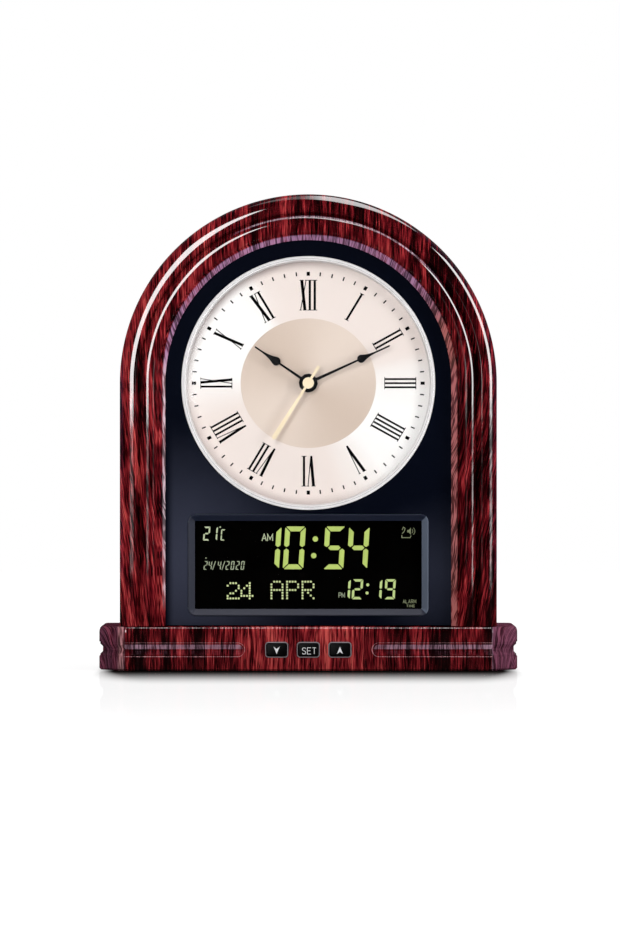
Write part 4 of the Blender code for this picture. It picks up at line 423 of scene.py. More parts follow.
def fill(node, values):
    """Sets a node's inputs, or links them."""
    for name, value in values.items():
        socket = node.inputs[name]
        value = getattr(value, "socket", value)
        if isinstance(value, bpy.types.NodeSocket):
            node.id_data.links.new(value, socket)
        elif socket.type == "RGBA":
            socket.default_value = (*value[:3], 1.0)
        else:
            socket.default_value = value
    return node


def add_node(tree, kind, values=None, **settings):
    node = tree.nodes.new(kind)
    for name, value in settings.items():
        setattr(node, name, value)
    return fill(node, values or {})


def maths(operation, *values):
    tree = next(value.tree for value in values if isinstance(value, Flow))
    return Flow(add_node(tree, "ShaderNodeMath", dict(enumerate(values)), operation=operation).outputs[0])


def most(first, *others):
    for other in others:
        first = maths("MAXIMUM", first, other)
    return first


def noise(vector, scale, detail=2.0, roughness=0.5):
    values = {"Vector": vector, "Scale": scale, "Detail": detail, "Roughness": roughness}
    return Flow(add_node(vector.tree, "ShaderNodeTexNoise", values).outputs[0])


def mix(mask, first, second):
    """Two colours mixed by a mask."""
    node = add_node(mask.tree, "ShaderNodeMix", data_type="RGBA")
    return Flow(fill(node, {0: mask, 6: first, 7: second}).outputs[2])


def blend(mask, first, second):
    """Two numbers mixed by a mask."""
    return Flow(add_node(mask.tree, "ShaderNodeMix", {0: mask, 2: first, 3: second}).outputs[0])


def split(vector):
    return [Flow(part) for part in add_node(vector.tree, "ShaderNodeSeparateXYZ", {0: vector}).outputs]


def upright(across, level):
    """A place from values along X and Z."""
    tree = across.tree if isinstance(across, Flow) else level.tree
    return Flow(add_node(tree, "ShaderNodeCombineXYZ", {0: across, 2: level}).outputs[0])


def span(across, level):
    return maths("SQRT", across * across + level * level)


def position(tree, output="Object"):
    """The place on the piece as one vector."""
    return Flow(add_node(tree, "ShaderNodeTexCoord").outputs[output])


def light_rays(tree):
    return {socket.name: Flow(socket) for socket in add_node(tree, "ShaderNodeLightPath").outputs}


def mix_shaders(mask, first, second):
    return add_node(mask.tree, "ShaderNodeMixShader", {0: mask, 1: first.outputs[0], 2: second.outputs[0]})


def show(shader):
    """Joins a shader to the material's output."""
    fill(shader.id_data.nodes["Material Output"], {"Surface": shader.outputs[0]})


# Shader groups
NUMBER, VECTOR, COLOUR = "NodeSocketFloat", "NodeSocketVector", "NodeSocketColor"


def new_group(name, inputs, outputs):
    """An empty shader group: its input values, and the node that takes its outputs."""
    tree = bpy.data.node_groups.new(name, "ShaderNodeTree")
    for label, value in inputs.items():
        plain = isinstance(value, str)
        kind = value if plain else VECTOR if isinstance(value, tuple) else NUMBER
        socket = tree.interface.new_socket(name=label, in_out="INPUT", socket_type=kind)
        if not plain:
            socket.default_value = value
    for label, kind in outputs.items():
        tree.interface.new_socket(name=label, in_out="OUTPUT", socket_type=kind)
    given = {socket.name: Flow(socket) for socket in tree.nodes.new("NodeGroupInput").outputs}
    return tree, given, tree.nodes.new("NodeGroupOutput")


# Film: where the grain's slant ends behind the front, the plinth's flat front, and how the gloss coat fades
SLANT_END = 0.030
FILM_FLAT = 0.0035
FLANK_FADE = (-0.026, -0.017, 1.0, 0.30)
SILHOUETTE_FADE = (0.62, 0.86, 1.0, 0.0)
LEG_FADE = (DIAL_CENTRE + 0.020, DIAL_CENTRE - 0.045)
LEG_COAT = (0.0, 1.0, 0.14, 0.85)
HOLLOW_LOSS = 0.88
# How far the painted highlights and reflections follow the grain's streaks, and how the grain's tone lifts
# towards the plinth's middle and towards the arch's left
STREAKED = (0.0, 1.0, 0.16, 1.0)
PLINTH_LIFT = (0.078, 0.026, -0.032, 0.050)
ARCH_LIFT = (-0.100, 0.060, 0.014, -0.022)


def film_grain_group():
    """Printed wood grain laid on from the front; it leans on the flanks and fans out down the legs."""
    tree, given, sink = new_group(
        "film grain",
        {"Position": VECTOR, "Front": 0.0, "Lean": 8.0, "Slant": 0.0, "Fan": 0.0, "Fan Top": 0.17,
         "Wander": 1.0, "Streak Width": 0.0012, "Streak Length": 0.030, "Lift": 0.0,
         "Dark": COLOUR, "Middle": COLOUR, "Bright": COLOUR, "Flare": COLOUR},
        {"Color": COLOUR, "Streak": NUMBER, "Hair": NUMBER},
    )
    x, y, z = split(given["Position"])
    depth = most(y - given["Front"], 0.0)
    slanted = maths("MINIMUM", depth, most(SLANT_END - depth, 0.0))
    below = maths("SMOOTH_MAX", given["Fan Top"] - z, 0.0, 0.04)
    stretch = depth * given["Lean"] + 1.0 + below * given["Fan"] - slanted * z * given["Slant"]
    across = x * stretch
    flat = upright(across, z)
    sway = noise(flat, 24.0, 1.0) * 0.010 + noise(flat, 95.0, 1.0) * 0.0024
    drift = sway * below.spread(0.0, 0.06, 0.3, 1.0) * given["Wander"] + across

    def layer(width_share, length_share, detail, roughness):
        wide = given["Streak Width"] * width_share
        tall = given["Streak Length"] * length_share
        return noise(upright(drift / wide, z / tall), 1.0, detail, roughness)

    bands = layer(7.0, 2.2, 1.0, 0.5)
    streaks = layer(1.35, 0.8, 1.0, 0.6)
    hairs = layer(0.40, 0.34, 1.0, 0.6)
    pores = layer(0.36, 0.30, 0.0, 0.5)
    value = (bands + streaks * 0.95 + hairs * 0.95) / 2.90 + given["Lift"]
    low = value.spread(0.435, 0.515)
    shade = mix(low, given["Dark"], given["Middle"])
    shade = mix(value.spread(0.505, 0.580), shade, given["Bright"])
    shade = mix(value.spread(0.565, 0.650), shade, given["Flare"])
    shade = mix(pores.spread(0.43, 0.34, 0.0, 0.85), shade, given["Dark"])
    strands = (hairs * 0.65 + streaks * 0.35).spread(0.44, 0.58)
    fill(sink, {"Color": shade, "Streak": low, "Hair": strands})


def moulded_group():
    """The fine even texture of moulded plastic, with slight handling marks."""
    tree, given, sink = new_group(
        "moulded texture", {"Grain": 4200.0, "Roughness": 0.5, "Variation": 0.10},
        {"Roughness": NUMBER, "Height": NUMBER, "Mark": NUMBER})
    place = position(tree)
    marks = noise(place, 60.0, 4.0, 0.6)
    rough = (marks * 2.0 - 1.0) * given["Variation"] + given["Roughness"]
    fill(sink, {"Roughness": rough, "Height": noise(place, given["Grain"], 1.0), "Mark": marks})


def brushed_group():
    """Fine lines along one direction, for metal parts."""
    tree, given, sink = new_group(
        "brushed lines", {"Stretch": (1.0, 1.0, 0.02), "Scale": 3000.0, "Roughness": 0.3},
        {"Roughness": NUMBER, "Height": NUMBER})
    drawn = add_node(tree, "ShaderNodeVectorMath", {0: position(tree), 1: given["Stretch"]},
                     operation="MULTIPLY")
    lines = noise(Flow(drawn.outputs[0]), given["Scale"], 2.0)
    fill(sink, {"Roughness": lines * 0.16 + (given["Roughness"] - 0.08), "Height": lines})


GROUP_MAKERS = {"film grain": film_grain_group, "moulded texture": moulded_group,
                "brushed lines": brushed_group}


def use_group(tree, name, values):
    if name not in bpy.data.node_groups:
        GROUP_MAKERS[name]()
    node = tree.nodes.new("ShaderNodeGroup")
    node.node_tree = bpy.data.node_groups[name]
    return {socket.name: Flow(socket) for socket in fill(node, values).outputs}


# Materials

def blank_material(name, base=(0.5, 0.5, 0.5), roughness=0.5, **sockets):
    """A Principled material, its tree and its shader, with plain values on the sockets."""
    material = bpy.data.materials.new(name)
    material.use_nodes = True
    shader = material.node_tree.nodes["Principled BSDF"]
    values = {"Base Color": base, "Roughness": roughness}
    for label, value in sockets.items():
        values[label.replace("_", " ").title().replace("Ior", "IOR")] = value
    fill(shader, values)
    material.diffuse_color = (*base[:3], 1.0)
    return material, material.node_tree, shader


def shaded(base, factor):
    return tuple(min(1.0, value * factor) for value in base)


def bump(height, distance, strength=1.0):
    values = {"Height": height, "Distance": distance, "Strength": strength}
    return Flow(add_node(height.tree, "ShaderNodeBump", values).outputs[0])


def moulded_material(name, base, roughness, grain=4200.0, depth=0.000012, variation=0.08, tint=0.25,
                     **sockets):
    """A moulded plastic: even texture, slight gloss changes and a little colour variation."""
    material, tree, shader = blank_material(name, base, roughness, **sockets)
    values = {"Grain": grain, "Roughness": roughness, "Variation": variation}
    made = use_group(tree, "moulded texture", values)
    colours = mix(made["Mark"].spread(0.3, 0.7), shaded(base, 1 - tint), shaded(base, 1 + tint))
    fill(shader, {"Roughness": made["Roughness"], "Normal": bump(made["Height"], depth),
                  "Base Color": colours})
    return material


def metal_material(name, base, roughness):
    material, tree, shader = blank_material(name, base, roughness, metallic=1.0)
    made = use_group(tree, "brushed lines", {"Roughness": roughness})
    colours = mix(made["Height"].spread(0.3, 0.7), shaded(base, 0.82), base)
    fill(shader, {"Roughness": made["Roughness"], "Normal": bump(made["Height"], 0.000006),
                  "Base Color": colours})
    return material


def film_material(name, light, **values):
    """Printed grain with painted highlights and reflections mixed in where the light function puts them, under a
    clear gloss coat that thins out at the silhouette.
    """
    case = bpy.context.scene.clock_case
    material, tree, shader = blank_material(name, (0.1, 0.01, 0.01), 0.5, coat_roughness=0.04, coat_ior=2.05,
                                            specular_ior_level=0.0)
    place = position(tree)
    x, y, z = split(place)
    lift, mask, tint, hollow = light(x, y, z, case)
    made = use_group(tree, "film grain", {
        "Position": place, "Fan Top": DIAL_CENTRE, "Lift": lift, "Dark": case.film_dark,
        "Middle": case.film_mid, "Bright": case.film_bright, "Flare": case.film_flare,
        **{label.replace("_", " ").title(): value for label, value in values.items()},
    })
    hair = made["Hair"]
    turned_away = Flow(add_node(tree, "ShaderNodeLayerWeight", {"Blend": 0.5}).outputs["Facing"])
    worn = blend(z.spread(*LEG_FADE), 1.0, hair.spread(*LEG_COAT))
    coat = turned_away.spread(*SILHOUETTE_FADE) * worn * y.spread(*FLANK_FADE) * (hollow * -HOLLOW_LOSS + 1.0)
    fill(shader, {
        "Base Color": mix(mask * hair.spread(*STREAKED), made["Color"], tint),
        "Roughness": made["Streak"].spread(0.0, 1.0, 0.55, 0.42),
        "Coat Weight": coat,
        "Normal": bump(made["Streak"], 0.000006, 0.4),
    })
    return material


# Flutes and end facets of the plinth
FACET_START = 0.1078
FLUTE_END = 0.0371
FLUTE_HALF = 0.00425
FLUTE_CENTRE = (BASE_HIGH.z + BASE_LOW.z) / 2 - 0.0005


def flute_light(x, y, z, case):
    """Painted reflection on the flutes' upper slope, painted highlights on their rim and along the left facet's
    edge, and painted reflection on the plinth's end facets.
    """
    width, level = abs(x), z - FLUTE_CENTRE
    away = span(most(FLUTE_END + FLUTE_HALF - width, 0.0), level)
    front = y.spread(BASE_LOW.y + FILM_FLAT + 0.0005, BASE_LOW.y + FILM_FLAT)
    # Masks of the painted light: reflection on the upper slope, highlight on the rim, reflection on the end
    # facets, highlight along the left facet's edge, and its strength on the facets.
    slope = level.band(0.0004, 0.0030, 0.0004) * away.spread(0.0032, 0.0028)
    rim = away.band(FLUTE_HALF - 0.00038, FLUTE_HALF - 0.00002, 0.00010)
    facet = width.spread(FACET_START - 0.0008, FACET_START + 0.0008)
    edge = x.band(-FACET_START - 0.0036, -FACET_START, 0.0010) * 0.75
    tint = mix(facet, mix(rim, case.flute_tint, case.flute_line), case.facet_tint)
    tint = mix(edge, tint, case.flute_line)
    shade = most(x.spread(-FACET_START, FACET_START, 0.65, 0.85), edge)
    mask = blend(facet, most(slope * 0.9, rim * 0.7) * front, shade)
    return width.spread(*PLINTH_LIFT), mask, tint, facet


# Radii and spans of the painted light on the arch's lip, of the crown and hollows where the gloss coat thins,
# and of the painted highlight on the inner bead
LIP_LEFT_EDGES = (0.0857, 0.0870)
LIP_RIGHT_EDGE = 0.0876
CROWN_EDGE = (0.1068, 0.1074)
CROWN_SPAN = (0.012, -0.006)
CROWN_RIM = (0.1092, 0.1098)
BEAD_HIGHLIGHT_RADII = (0.0968, 0.0977)
BEAD_HIGHLIGHT_SPAN = (-0.038, 0.070)
HOLLOWS = ((0.0870, 0.0928), (0.0977, 0.1016))


def lip_light(x, y, z, case):
    """Painted light round the inner edge of the arch: a cool painted reflection at the upper left, a pale
    painted highlight down the left leg and along the inner bead's crown, and warm painted light at the right.
    """
    rise = most(z - DIAL_CENTRE, 0.0)
    radius = span(rise, x)
    right = x.spread(-0.010, 0.050)
    edge = blend(right, rise.spread(0.0, 0.040, *LIP_LEFT_EDGES), LIP_RIGHT_EDGE)
    mask = (radius - edge).spread(0.0003, -0.0007, 0.0, 0.9) * most(z.spread(0.034, 0.052), right)
    crown = most(radius.spread(*CROWN_EDGE) * x.spread(*CROWN_SPAN, 0.0, 0.95),
                 radius.spread(*CROWN_RIM) * y.spread(-0.018, -0.026))
    hollow = most(crown * rise.spread(0.0, 0.02), *[radius.band(*ends, 0.0003) for ends in HOLLOWS])
    # Painted highlight along the inner bead's crown over the top of the arch
    line = radius.band(*BEAD_HIGHLIGHT_RADII, 0.0004) * x.band(*BEAD_HIGHLIGHT_SPAN, 0.010) * rise.spread(0.045, 0.060)
    tint = mix(most(rise.spread(0.020, 0.0), line), case.lip_cool, case.lip_pale)
    tint = mix(right * rise.spread(0.062, 0.030), tint, case.lip_warm)
    return x.spread(*ARCH_LIFT), most(mask, line), tint, hollow


def dial_places(tree):
    """Angle and radius about the dial's middle."""
    x, y, z = split(position(tree))
    up = z - DIAL_CENTRE
    return maths("ARCTAN2", up, x), span(up, x)


# Place on the clock face in degrees from twelve, and strength, of the soft shades inside the ring
RIM_SHADES = ((322, 0.80), (212, 0.55))


def dial_material():
    """Cream dial with fine rays running out from the middle, a painted sheen in a bow across it, and a painted
    shade inside the trim ring.
    """
    dial = bpy.context.scene.clock_dial
    material, tree, shader = blank_material("dial face", dial.cream, 0.42, specular_ior_level=0.4)
    angle, radius = dial_places(tree)
    rays = upright(maths("COSINE", angle), maths("SINE", angle))
    fine = noise(rays, 130.0, 3.0, 0.6)
    # Painted sheen in a bow across the dial, broken up by the fine rays; painted shade in lobes inside the trim
    # ring
    bow = maths("COSINE", (angle - math.radians(152)) * 2.0) + fine * 0.35 + noise(rays, 3.0, 1.0) * 0.9
    lobes = [maths("COSINE", angle - math.radians(90 - middle)).spread(0.25, 1.0, 0.0, strength)
             for middle, strength in RIM_SHADES]
    rim = most(*lobes) * radius.spread(DIAL_RADIUS - 0.0092, DIAL_RADIUS - 0.0030)
    shade = mix(bow.spread(0.50, 1.60), dial.cream, dial.pearl)
    fill(shader, {"Base Color": mix(rim, shade, dial.rim_shade), "Normal": bump(fine, 0.00001, 0.5)})
    return material


def centre_material():
    """Tan print in the middle of the dial, with fine concentric turning and a painted sheen that is lightest
    along one diagonal.
    """
    tan = bpy.context.scene.clock_dial.centre_tan
    material, tree, shader = blank_material("dial centre", tan, 0.5)
    angle, radius = dial_places(tree)
    rings = noise(upright(radius * 2600.0, 0.0), 1.0, 1.0)
    # Painted sheen: the tan lighter along one diagonal and darker across it, broken by the fine turning
    light = maths("COSINE", (angle - math.radians(45)) * 2.0) * 0.42 + 0.5 + (rings - 0.5) * 0.25
    darker = [value * part for value, part in zip(tan, (0.90, 0.86, 0.84))]
    lighter = [min(1.0, value * part) for value, part in zip(tan, (1.14, 1.16, 1.20))]
    fill(shader, {"Base Color": mix(light, darker, lighter), "Normal": bump(rings, 0.000008, 0.5)})
    return material


# Centre, reach and strength of the panel's painted light, the span of its painted shade along the left edge, and
# its dark and lit colours
PANEL_PAINTED_LIGHTS = ((-0.077, 0.062, 0.092, 1.0), (0.077, 0.056, 0.052, 0.45))
PANEL_PAINTED_SHADE_EDGE = (-0.0840, -0.0785)
PANEL_SHADED_AND_LIT = ((0.0009, 0.0019, 0.0065), (0.034, 0.038, 0.061))


def satin_material(name, base, roughness, depth, specular):
    """A satin plastic whose colour is still to be linked."""
    material, tree, shader = blank_material(name, base, roughness, specular_ior_level=specular)
    made = use_group(tree, "moulded texture", {"Grain": 3600.0, "Roughness": roughness, "Variation": 0.06})
    fill(shader, {"Roughness": made["Roughness"], "Normal": bump(made["Height"], depth)})
    return material, shader, made["Mark"], split(position(tree))


def panel_material():
    """Deep blue satin of the front panel, with painted light towards its lower corners, most at the left, and
    painted shade along its left edge by the arch.
    """
    base = (0.004, 0.006, 0.014)
    material, shader, mark, (x, y, z) = satin_material("panel satin", base, 0.5, 0.000006, 0.02)
    # Painted light in soft pools towards the lower corners, broken by the moulding's marks, and painted shade
    # along the left edge
    painted_lights = [span(x - across, z - level).spread(reach, 0.0, 0.0, strength)
             for across, level, reach, strength in PANEL_PAINTED_LIGHTS]
    light = ((mark - 0.5) * 0.12 + most(*painted_lights)) * x.spread(*PANEL_PAINTED_SHADE_EDGE)
    fill(shader, {"Base Color": mix(light, *PANEL_SHADED_AND_LIT)})
    return material


def bezel_material():
    """Satin of the display's frame, with painted light and shade: each of its four sides in its own shade,
    meeting at the corners.
    """
    display = bpy.context.scene.clock_display
    material, shader, mark, (x, y, z) = satin_material("bezel", display.bezel_left, 0.42, 0.000004, 0.2)
    level = z - DISPLAY_CENTRE
    across = abs(x) - (BEZEL_HIGH.x - display.ear)
    beside = (across - (abs(level) - (BEZEL_HIGH.z - BEZEL_LOW.z) / 2)).spread(-0.0004, 0.0004)
    flank = mix(x.spread(-0.001, 0.001), display.bezel_left, display.bezel_right)
    bars = mix(level.spread(-0.001, 0.001), display.bezel_bottom, display.bezel_top)
    fill(shader, {"Base Color": mix(beside, bars, flank)})
    return material


def clear_material():
    """Clear moulding that lets lamp light through to what lies behind it."""
    material, tree, shader = blank_material("clear", (0.985, 0.99, 0.995), 0.0, transmission_weight=1.0,
                                            ior=1.14)
    fill(shader, {"Roughness": noise(position(tree), 40.0, 3.0).spread(0.3, 0.8, 0.0, 0.012)})
    rays = light_rays(tree)
    passing = most(rays["Is Shadow Ray"], rays["Is Diffuse Ray"])
    show(mix_shaders(passing, shader, add_node(tree, "ShaderNodeBsdfTransparent")))
    return material


def lit_material(name, tint):
    """A lit liquid crystal sign with a slightly uneven glow."""
    material, tree, shader = blank_material(name, (0.01, 0.012, 0.006), 0.4, emission_strength=1.0)
    glow = noise(position(tree), 90.0, 2.0).spread(0.3, 0.7)
    fill(shader, {"Emission Color": mix(glow, shaded(tint, 0.88), tint)})
    return material


def screen_material():
    """Unlit display glass: black with a very faint pattern of cells."""
    material, tree, shader = blank_material("screen", (0.0006, 0.0005, 0.0005), 0.40, specular_ior_level=0.0)
    cloud = noise(position(tree), 35.0, 2.0).spread(0.3, 0.7)
    fill(shader, {"Base Color": mix(cloud, (0.0004, 0.0003, 0.0003), (0.0009, 0.0008, 0.0007))})
    return material


def cell_material():
    """Plain battery sleeve with a copper-coloured band at one end."""
    material, tree, shader = blank_material("cell sleeve", (0.05, 0.09, 0.22), 0.32, coat_weight=0.4)
    made = use_group(tree, "moulded texture", {"Grain": 900.0, "Roughness": 0.32, "Variation": 0.08})
    copper = maths("GREATER_THAN", split(position(tree, "Generated"))[0], 0.72)
    fill(shader, {"Roughness": made["Roughness"],
                  "Base Color": mix(copper, (0.035, 0.06, 0.16), (0.42, 0.20, 0.09))})
    return material


def board_material():
    """Green circuit board with a grid of tracks."""
    material, tree, shader = blank_material("board", (0.02, 0.12, 0.05), 0.45)
    tracks = add_node(tree, "ShaderNodeTexBrick", {
        "Vector": position(tree), "Scale": 260.0, "Mortar Size": 0.06, "Color1": (0.015, 0.10, 0.04),
        "Color2": (0.02, 0.12, 0.05), "Mortar": (0.05, 0.22, 0.10)})
    fill(shader, {"Base Color": tracks.outputs[0], "Normal": bump(Flow(tracks.outputs[1]), 0.00003)})
    return material


# Moulded finishes: colour, roughness, grain, its depth, change of gloss and change of colour
MOULDED = {
    "dial_trim": ((0.72, 0.70, 0.70), 0.30, 1500.0, 0.000002, 0.05, 0.03),
    "light_guide": ((0.80, 0.80, 0.76), 0.4, 2500.0, 0.000004, 0.05, 0.04),
    "rubber": ((0.020, 0.020, 0.021), 0.85, 2600.0, 0.00003, 0.08),
    "trim_silver": ((0.30, 0.25, 0.27), 0.35, 3000.0, 0.000002, 0.05, 0.05),
    "acetal": ((0.80, 0.79, 0.74), 0.42, 2500.0, 0.000004, 0.05, 0.03),
    "magnet": ((0.09, 0.09, 0.10), 0.55, 1800.0, 0.00004),
    "paper": ((0.018, 0.018, 0.019), 0.88, 1400.0, 0.00005),
    "black_plastic": ((0.012, 0.012, 0.0135), 0.52, 2600.0, 0.00002),
    "button_print": ((0.82, 0.82, 0.84), 0.5, 5000.0, 0.000001, 0.05, 0.02),
}
MATERIALS = {}


def make_materials():
    """Every finish by its slot in the record, and the printed and lit ones of the scene."""
    display = bpy.context.scene.clock_display
    MATERIALS.update({
        "wood_film": film_material("wood film", flute_light, front=BASE_LOW.y + FILM_FLAT, lean=8.0,
                                   slant=430.0, fan=0.0, wander=0.30, streak_width=0.0011),
        "arch_film": film_material("arch film", lip_light, front=ARCH_LOW.y + 0.005, lean=7.0, slant=0.0,
                                   fan=1.5, wander=0.60, streak_width=0.0012),
        "panel_satin": panel_material(), "bezel": bezel_material(), "clear_lens": clear_material(),
        "dial_face": dial_material(), "dial_centre": centre_material(), "screen": screen_material(),
        "board": board_material(), "cell_sleeve": cell_material(),
        "steel": metal_material("steel", (0.58, 0.58, 0.57), 0.32),
        "brass": metal_material("brass", (0.72, 0.52, 0.22), 0.34),
        "hand_black": moulded_material("hand black", (0.004, 0.004, 0.005), 0.36, 5000.0, 0.000003,
                                       specular_ior_level=0.08),
        "hand_gold": moulded_material("hand gold", (0.86, 0.72, 0.50), 0.30, 3000.0, 0.000002, 0.05, 0.05,
                                      metallic=0.25),
        "button_black": moulded_material("button black", (0.0012, 0.0012, 0.0014), 0.30, 4200.0, 0.000002,
                                         specular_ior_level=0.1),
        "dial_print": moulded_material("dial print", (0.004, 0.0035, 0.004), 0.5, 5000.0, 0.000001,
                                       specular_ior_level=0.0),
    })
    for label, row in MOULDED.items():
        MATERIALS[label] = moulded_material(label.replace("_", " "), *row)
    for label in ("lit", "lit_small", "lit_dots", "lit_date", "lit_pale", "lit_dim"):
        MATERIALS[label] = lit_material(label.replace("_", " "), getattr(display, label))


# Nodes whose hard edges are broken by a small bevel, with its width
BROKEN_EDGES = {
    "base_case": 0.00030, "base_plate": 0.00020, "back_cover": 0.00025, "battery_door": 0.00025,
    "setting_knob": 0.00020, "dc_jack": 0.00012, "jack_nut": 0.00015, "movement_rear": 0.00020,
    "dial_nut": 0.00012, "foot_pad_left_front": 0.00020, "foot_pad_left_rear": 0.00020,
    "foot_pad_right_front": 0.00020, "foot_pad_right_rear": 0.00020,
}


def add_modifier(node, name, kind, **settings):
    step = node.modifiers.new(name, kind)
    for label, value in settings.items():
        setattr(step, label, value)


def finish_frame_nodes():
    """Every node of the frame in the finish that the record gives it, with smooth round faces."""
    sharp = math.radians(SHADE_ANGLE)
    for part in frame["record"]["subparts"]:
        name = part["node"]
        node = frame["nodes"][name]
        node.data.materials.clear()
        node.data.materials.append(MATERIALS["hand_black" if name == "dial_nut" else part["material_slot"]])
        for face in node.data.polygons:
            face.material_index = 0
            face.use_smooth = True
        add_modifier(node, "weld", "WELD", merge_threshold=WELD_DISTANCE)
        if name in BROKEN_EDGES:
            add_modifier(node, "flat faces", "DECIMATE", decimate_type="DISSOLVE",
                         angle_limit=math.radians(FLAT_ANGLE))
            add_modifier(node, "broken edges", "BEVEL", width=BROKEN_EDGES[name], segments=2,
                         limit_method="ANGLE", angle_limit=sharp, use_clamp_overlap=True)
        else:
            add_modifier(node, "sharp edges", "EDGE_SPLIT", split_angle=sharp)
        add_modifier(node, "even faces", "WEIGHTED_NORMAL", weight=100)


# Housing

def arch_profile(case):
    """The housing's section as (radius, depth), from the lip over both beads and back inside."""
    lip = ARCH_LOW.y + case.outer_bead_rise
    core_foot = ARCH_RADIUS - case.outer_bead_width
    step = core_foot - case.step_width
    inner_foot = step - case.inner_bead_width
    lip_radius = inner_foot - case.lip_width
    beads = (
        ((inner_foot, case.inner_bead_start), (step - case.inner_bead_far, case.inner_bead_rise),
         (step, case.inner_bead_end)),
        ((core_foot, case.outer_bead_start), (ARCH_RADIUS - case.outer_bead_far, case.outer_bead_rise),
         (ARCH_RADIUS, case.outer_bead_end)),
    )
    points = [(lip_radius, lip)]
    for bead in beads:
        foot, crown, end = [(radius, lip - rise) for radius, rise in bead]
        points += quarter(foot, crown, BEAD_STEPS, True) + quarter(crown, end, BEAD_STEPS, False)[1:]
    inside = ARCH_RADIUS - case.wall
    core = ARCH_LOW.y + case.bead_wall
    points += [
        (ARCH_RADIUS, ARCH_HIGH.y - case.rear_bevel), (ARCH_RADIUS - case.rear_bevel, ARCH_HIGH.y),
        (inside, ARCH_HIGH.y), (inside, core + case.wall), (inside - case.wall / 2, core),
        (core_foot + case.wall, core), (core_foot, lip + case.lip_thickness),
        (lip_radius, lip + case.lip_thickness),
    ]
    return points


def make_arch(case):
    """The swept moulding: up one leg, over the half circle and down the other leg."""
    bm = bmesh.new()
    profile = arch_profile(case)
    turns = [math.pi * index / ARCH_STEPS for index in range(ARCH_STEPS + 1)]
    stations = [(math.cos(turn), math.sin(turn), DIAL_CENTRE) for turn in turns]
    stations = [(1.0, 0.0, ARCH_LOW.z), *stations, (-1.0, 0.0, ARCH_LOW.z)]
    rings = [[bm.verts.new((radius * across, depth, base + radius * up)) for radius, depth in profile]
             for across, up, base in stations]
    add_piece("arch_moulding", skin(bm, rings, capped=True), "arch_film", ("arch_case",),
              angle=ARCH_SHADE_ANGLE)


# Dial

def make_ring_and_lens(dial):
    centre = (0, DIAL_CENTRE)
    bore = DIAL_RADIUS - dial.rim_width
    front, back = RING_LOW.y, RING_HIGH.y
    ring = ((bore, front + RING_EDGE), (bore + RING_EDGE, front), (DIAL_RADIUS - RING_EDGE, front),
            (DIAL_RADIUS, front + RING_EDGE), (DIAL_RADIUS, back), (bore - dial.rim_taper, back))
    add_piece("dial_trim_ring", turned(ring, ROUND_STEPS, centre, True), "dial_trim",
              ("dial_ring",))
    faces = []
    for wall in (0, dial.lens_wall):
        edge_radius = LENS_HIGH.x - wall
        bend = dial.lens_round - wall / 2
        shoulder = LENS_HIGH.y - dial.lens_edge + wall / 2
        face = [(edge_radius, LENS_HIGH.y)]
        face += quarter((edge_radius, shoulder), (edge_radius - bend, shoulder - bend), CORNER_STEPS, True)
        for index in range(1, CORNER_STEPS + 1):
            away = 1 - index / CORNER_STEPS
            face.append(((edge_radius - bend) * away, shoulder - bend - dial.lens_crown * (1 - away * away)))
        faces.append(face)
    profile = faces[0][::-1] + faces[1]
    add_piece("dial_glass", turned(profile, ROUND_STEPS, centre), "clear_lens", ("dial_lens",))


def make_dial_plate(dial):
    hole = dial.bush_radius
    plate = ((hole, DIAL_LOW.y), (DIAL_RADIUS, DIAL_LOW.y), (DIAL_RADIUS, DIAL_HIGH.y), (hole, DIAL_HIGH.y))
    add_piece("dial_face_plate", turned(plate, ROUND_STEPS, (0, DIAL_CENTRE), True), "dial_face",
              ("dial_plate",))
    outlines = [[(x, DIAL_CENTRE + z) for x, z in circle(hole, ROUND_STEPS)],
                [(x * dial.stretch_across, DIAL_CENTRE + z * dial.stretch_up)
                 for x, z in circle(dial.centre_radius, ROUND_STEPS)]]
    bore, rim = outlines
    front = DIAL_LOW.y - PRINT_THICKNESS
    sections = ((bore, front), (rim, front), (rim, DIAL_LOW.y), (bore, DIAL_LOW.y))
    add_piece("dial_centre_print", loft(sections, True), "dial_centre")


# Roman numerals, as shares of the numeral's height
STEM_SHARE = 0.036
SERIF_SHARE = 0.024
FOOT_SHARE = 0.078
THICK_SHARE = 0.047
THIN_SHARE = 0.014
THICK_LEAN_SHARE = 0.052
THIN_LEAN_SHARE = 0.088
THICK_FOOT_SHARE = 0.064
THIN_FOOT_SHARE = 0.036
FIVE_LEAN_SHARE = 0.088
GLYPH_SHARES = {"I": 2 * FOOT_SHARE, "V": 0.27, "X": 0.25}
NUMERALS = ("I", "II", "III", "IIII", "V", "VI", "VII", "VIII", "IX", "X", "XI", "XII")
NUMERAL_WIDTH_SHARES = (1.0, 0.92, 0.86, 0.86, 1.0, 1.0, 0.95, 0.90, 0.90, 0.95, 1.0, 1.0)


def stem_glyph():
    half, serif, foot = STEM_SHARE, SERIF_SHARE, FOOT_SHARE * 0.98
    right = [(foot, 0), (foot, serif), (half, serif), (half, 1 - serif), (foot, 1 - serif), (foot, 1)]
    return right + [(-x, z) for x, z in right[::-1]]


def serif_end(middle, foot, half, lean, level, inward):
    """Corners of one slab foot, from the stroke's one side to its other."""
    near = level + inward * SERIF_SHARE
    return [(lean(near) - half, near), (middle - foot, near), (middle - foot, level), (middle + foot, level),
            (middle + foot, near), (lean(near) + half, near)]


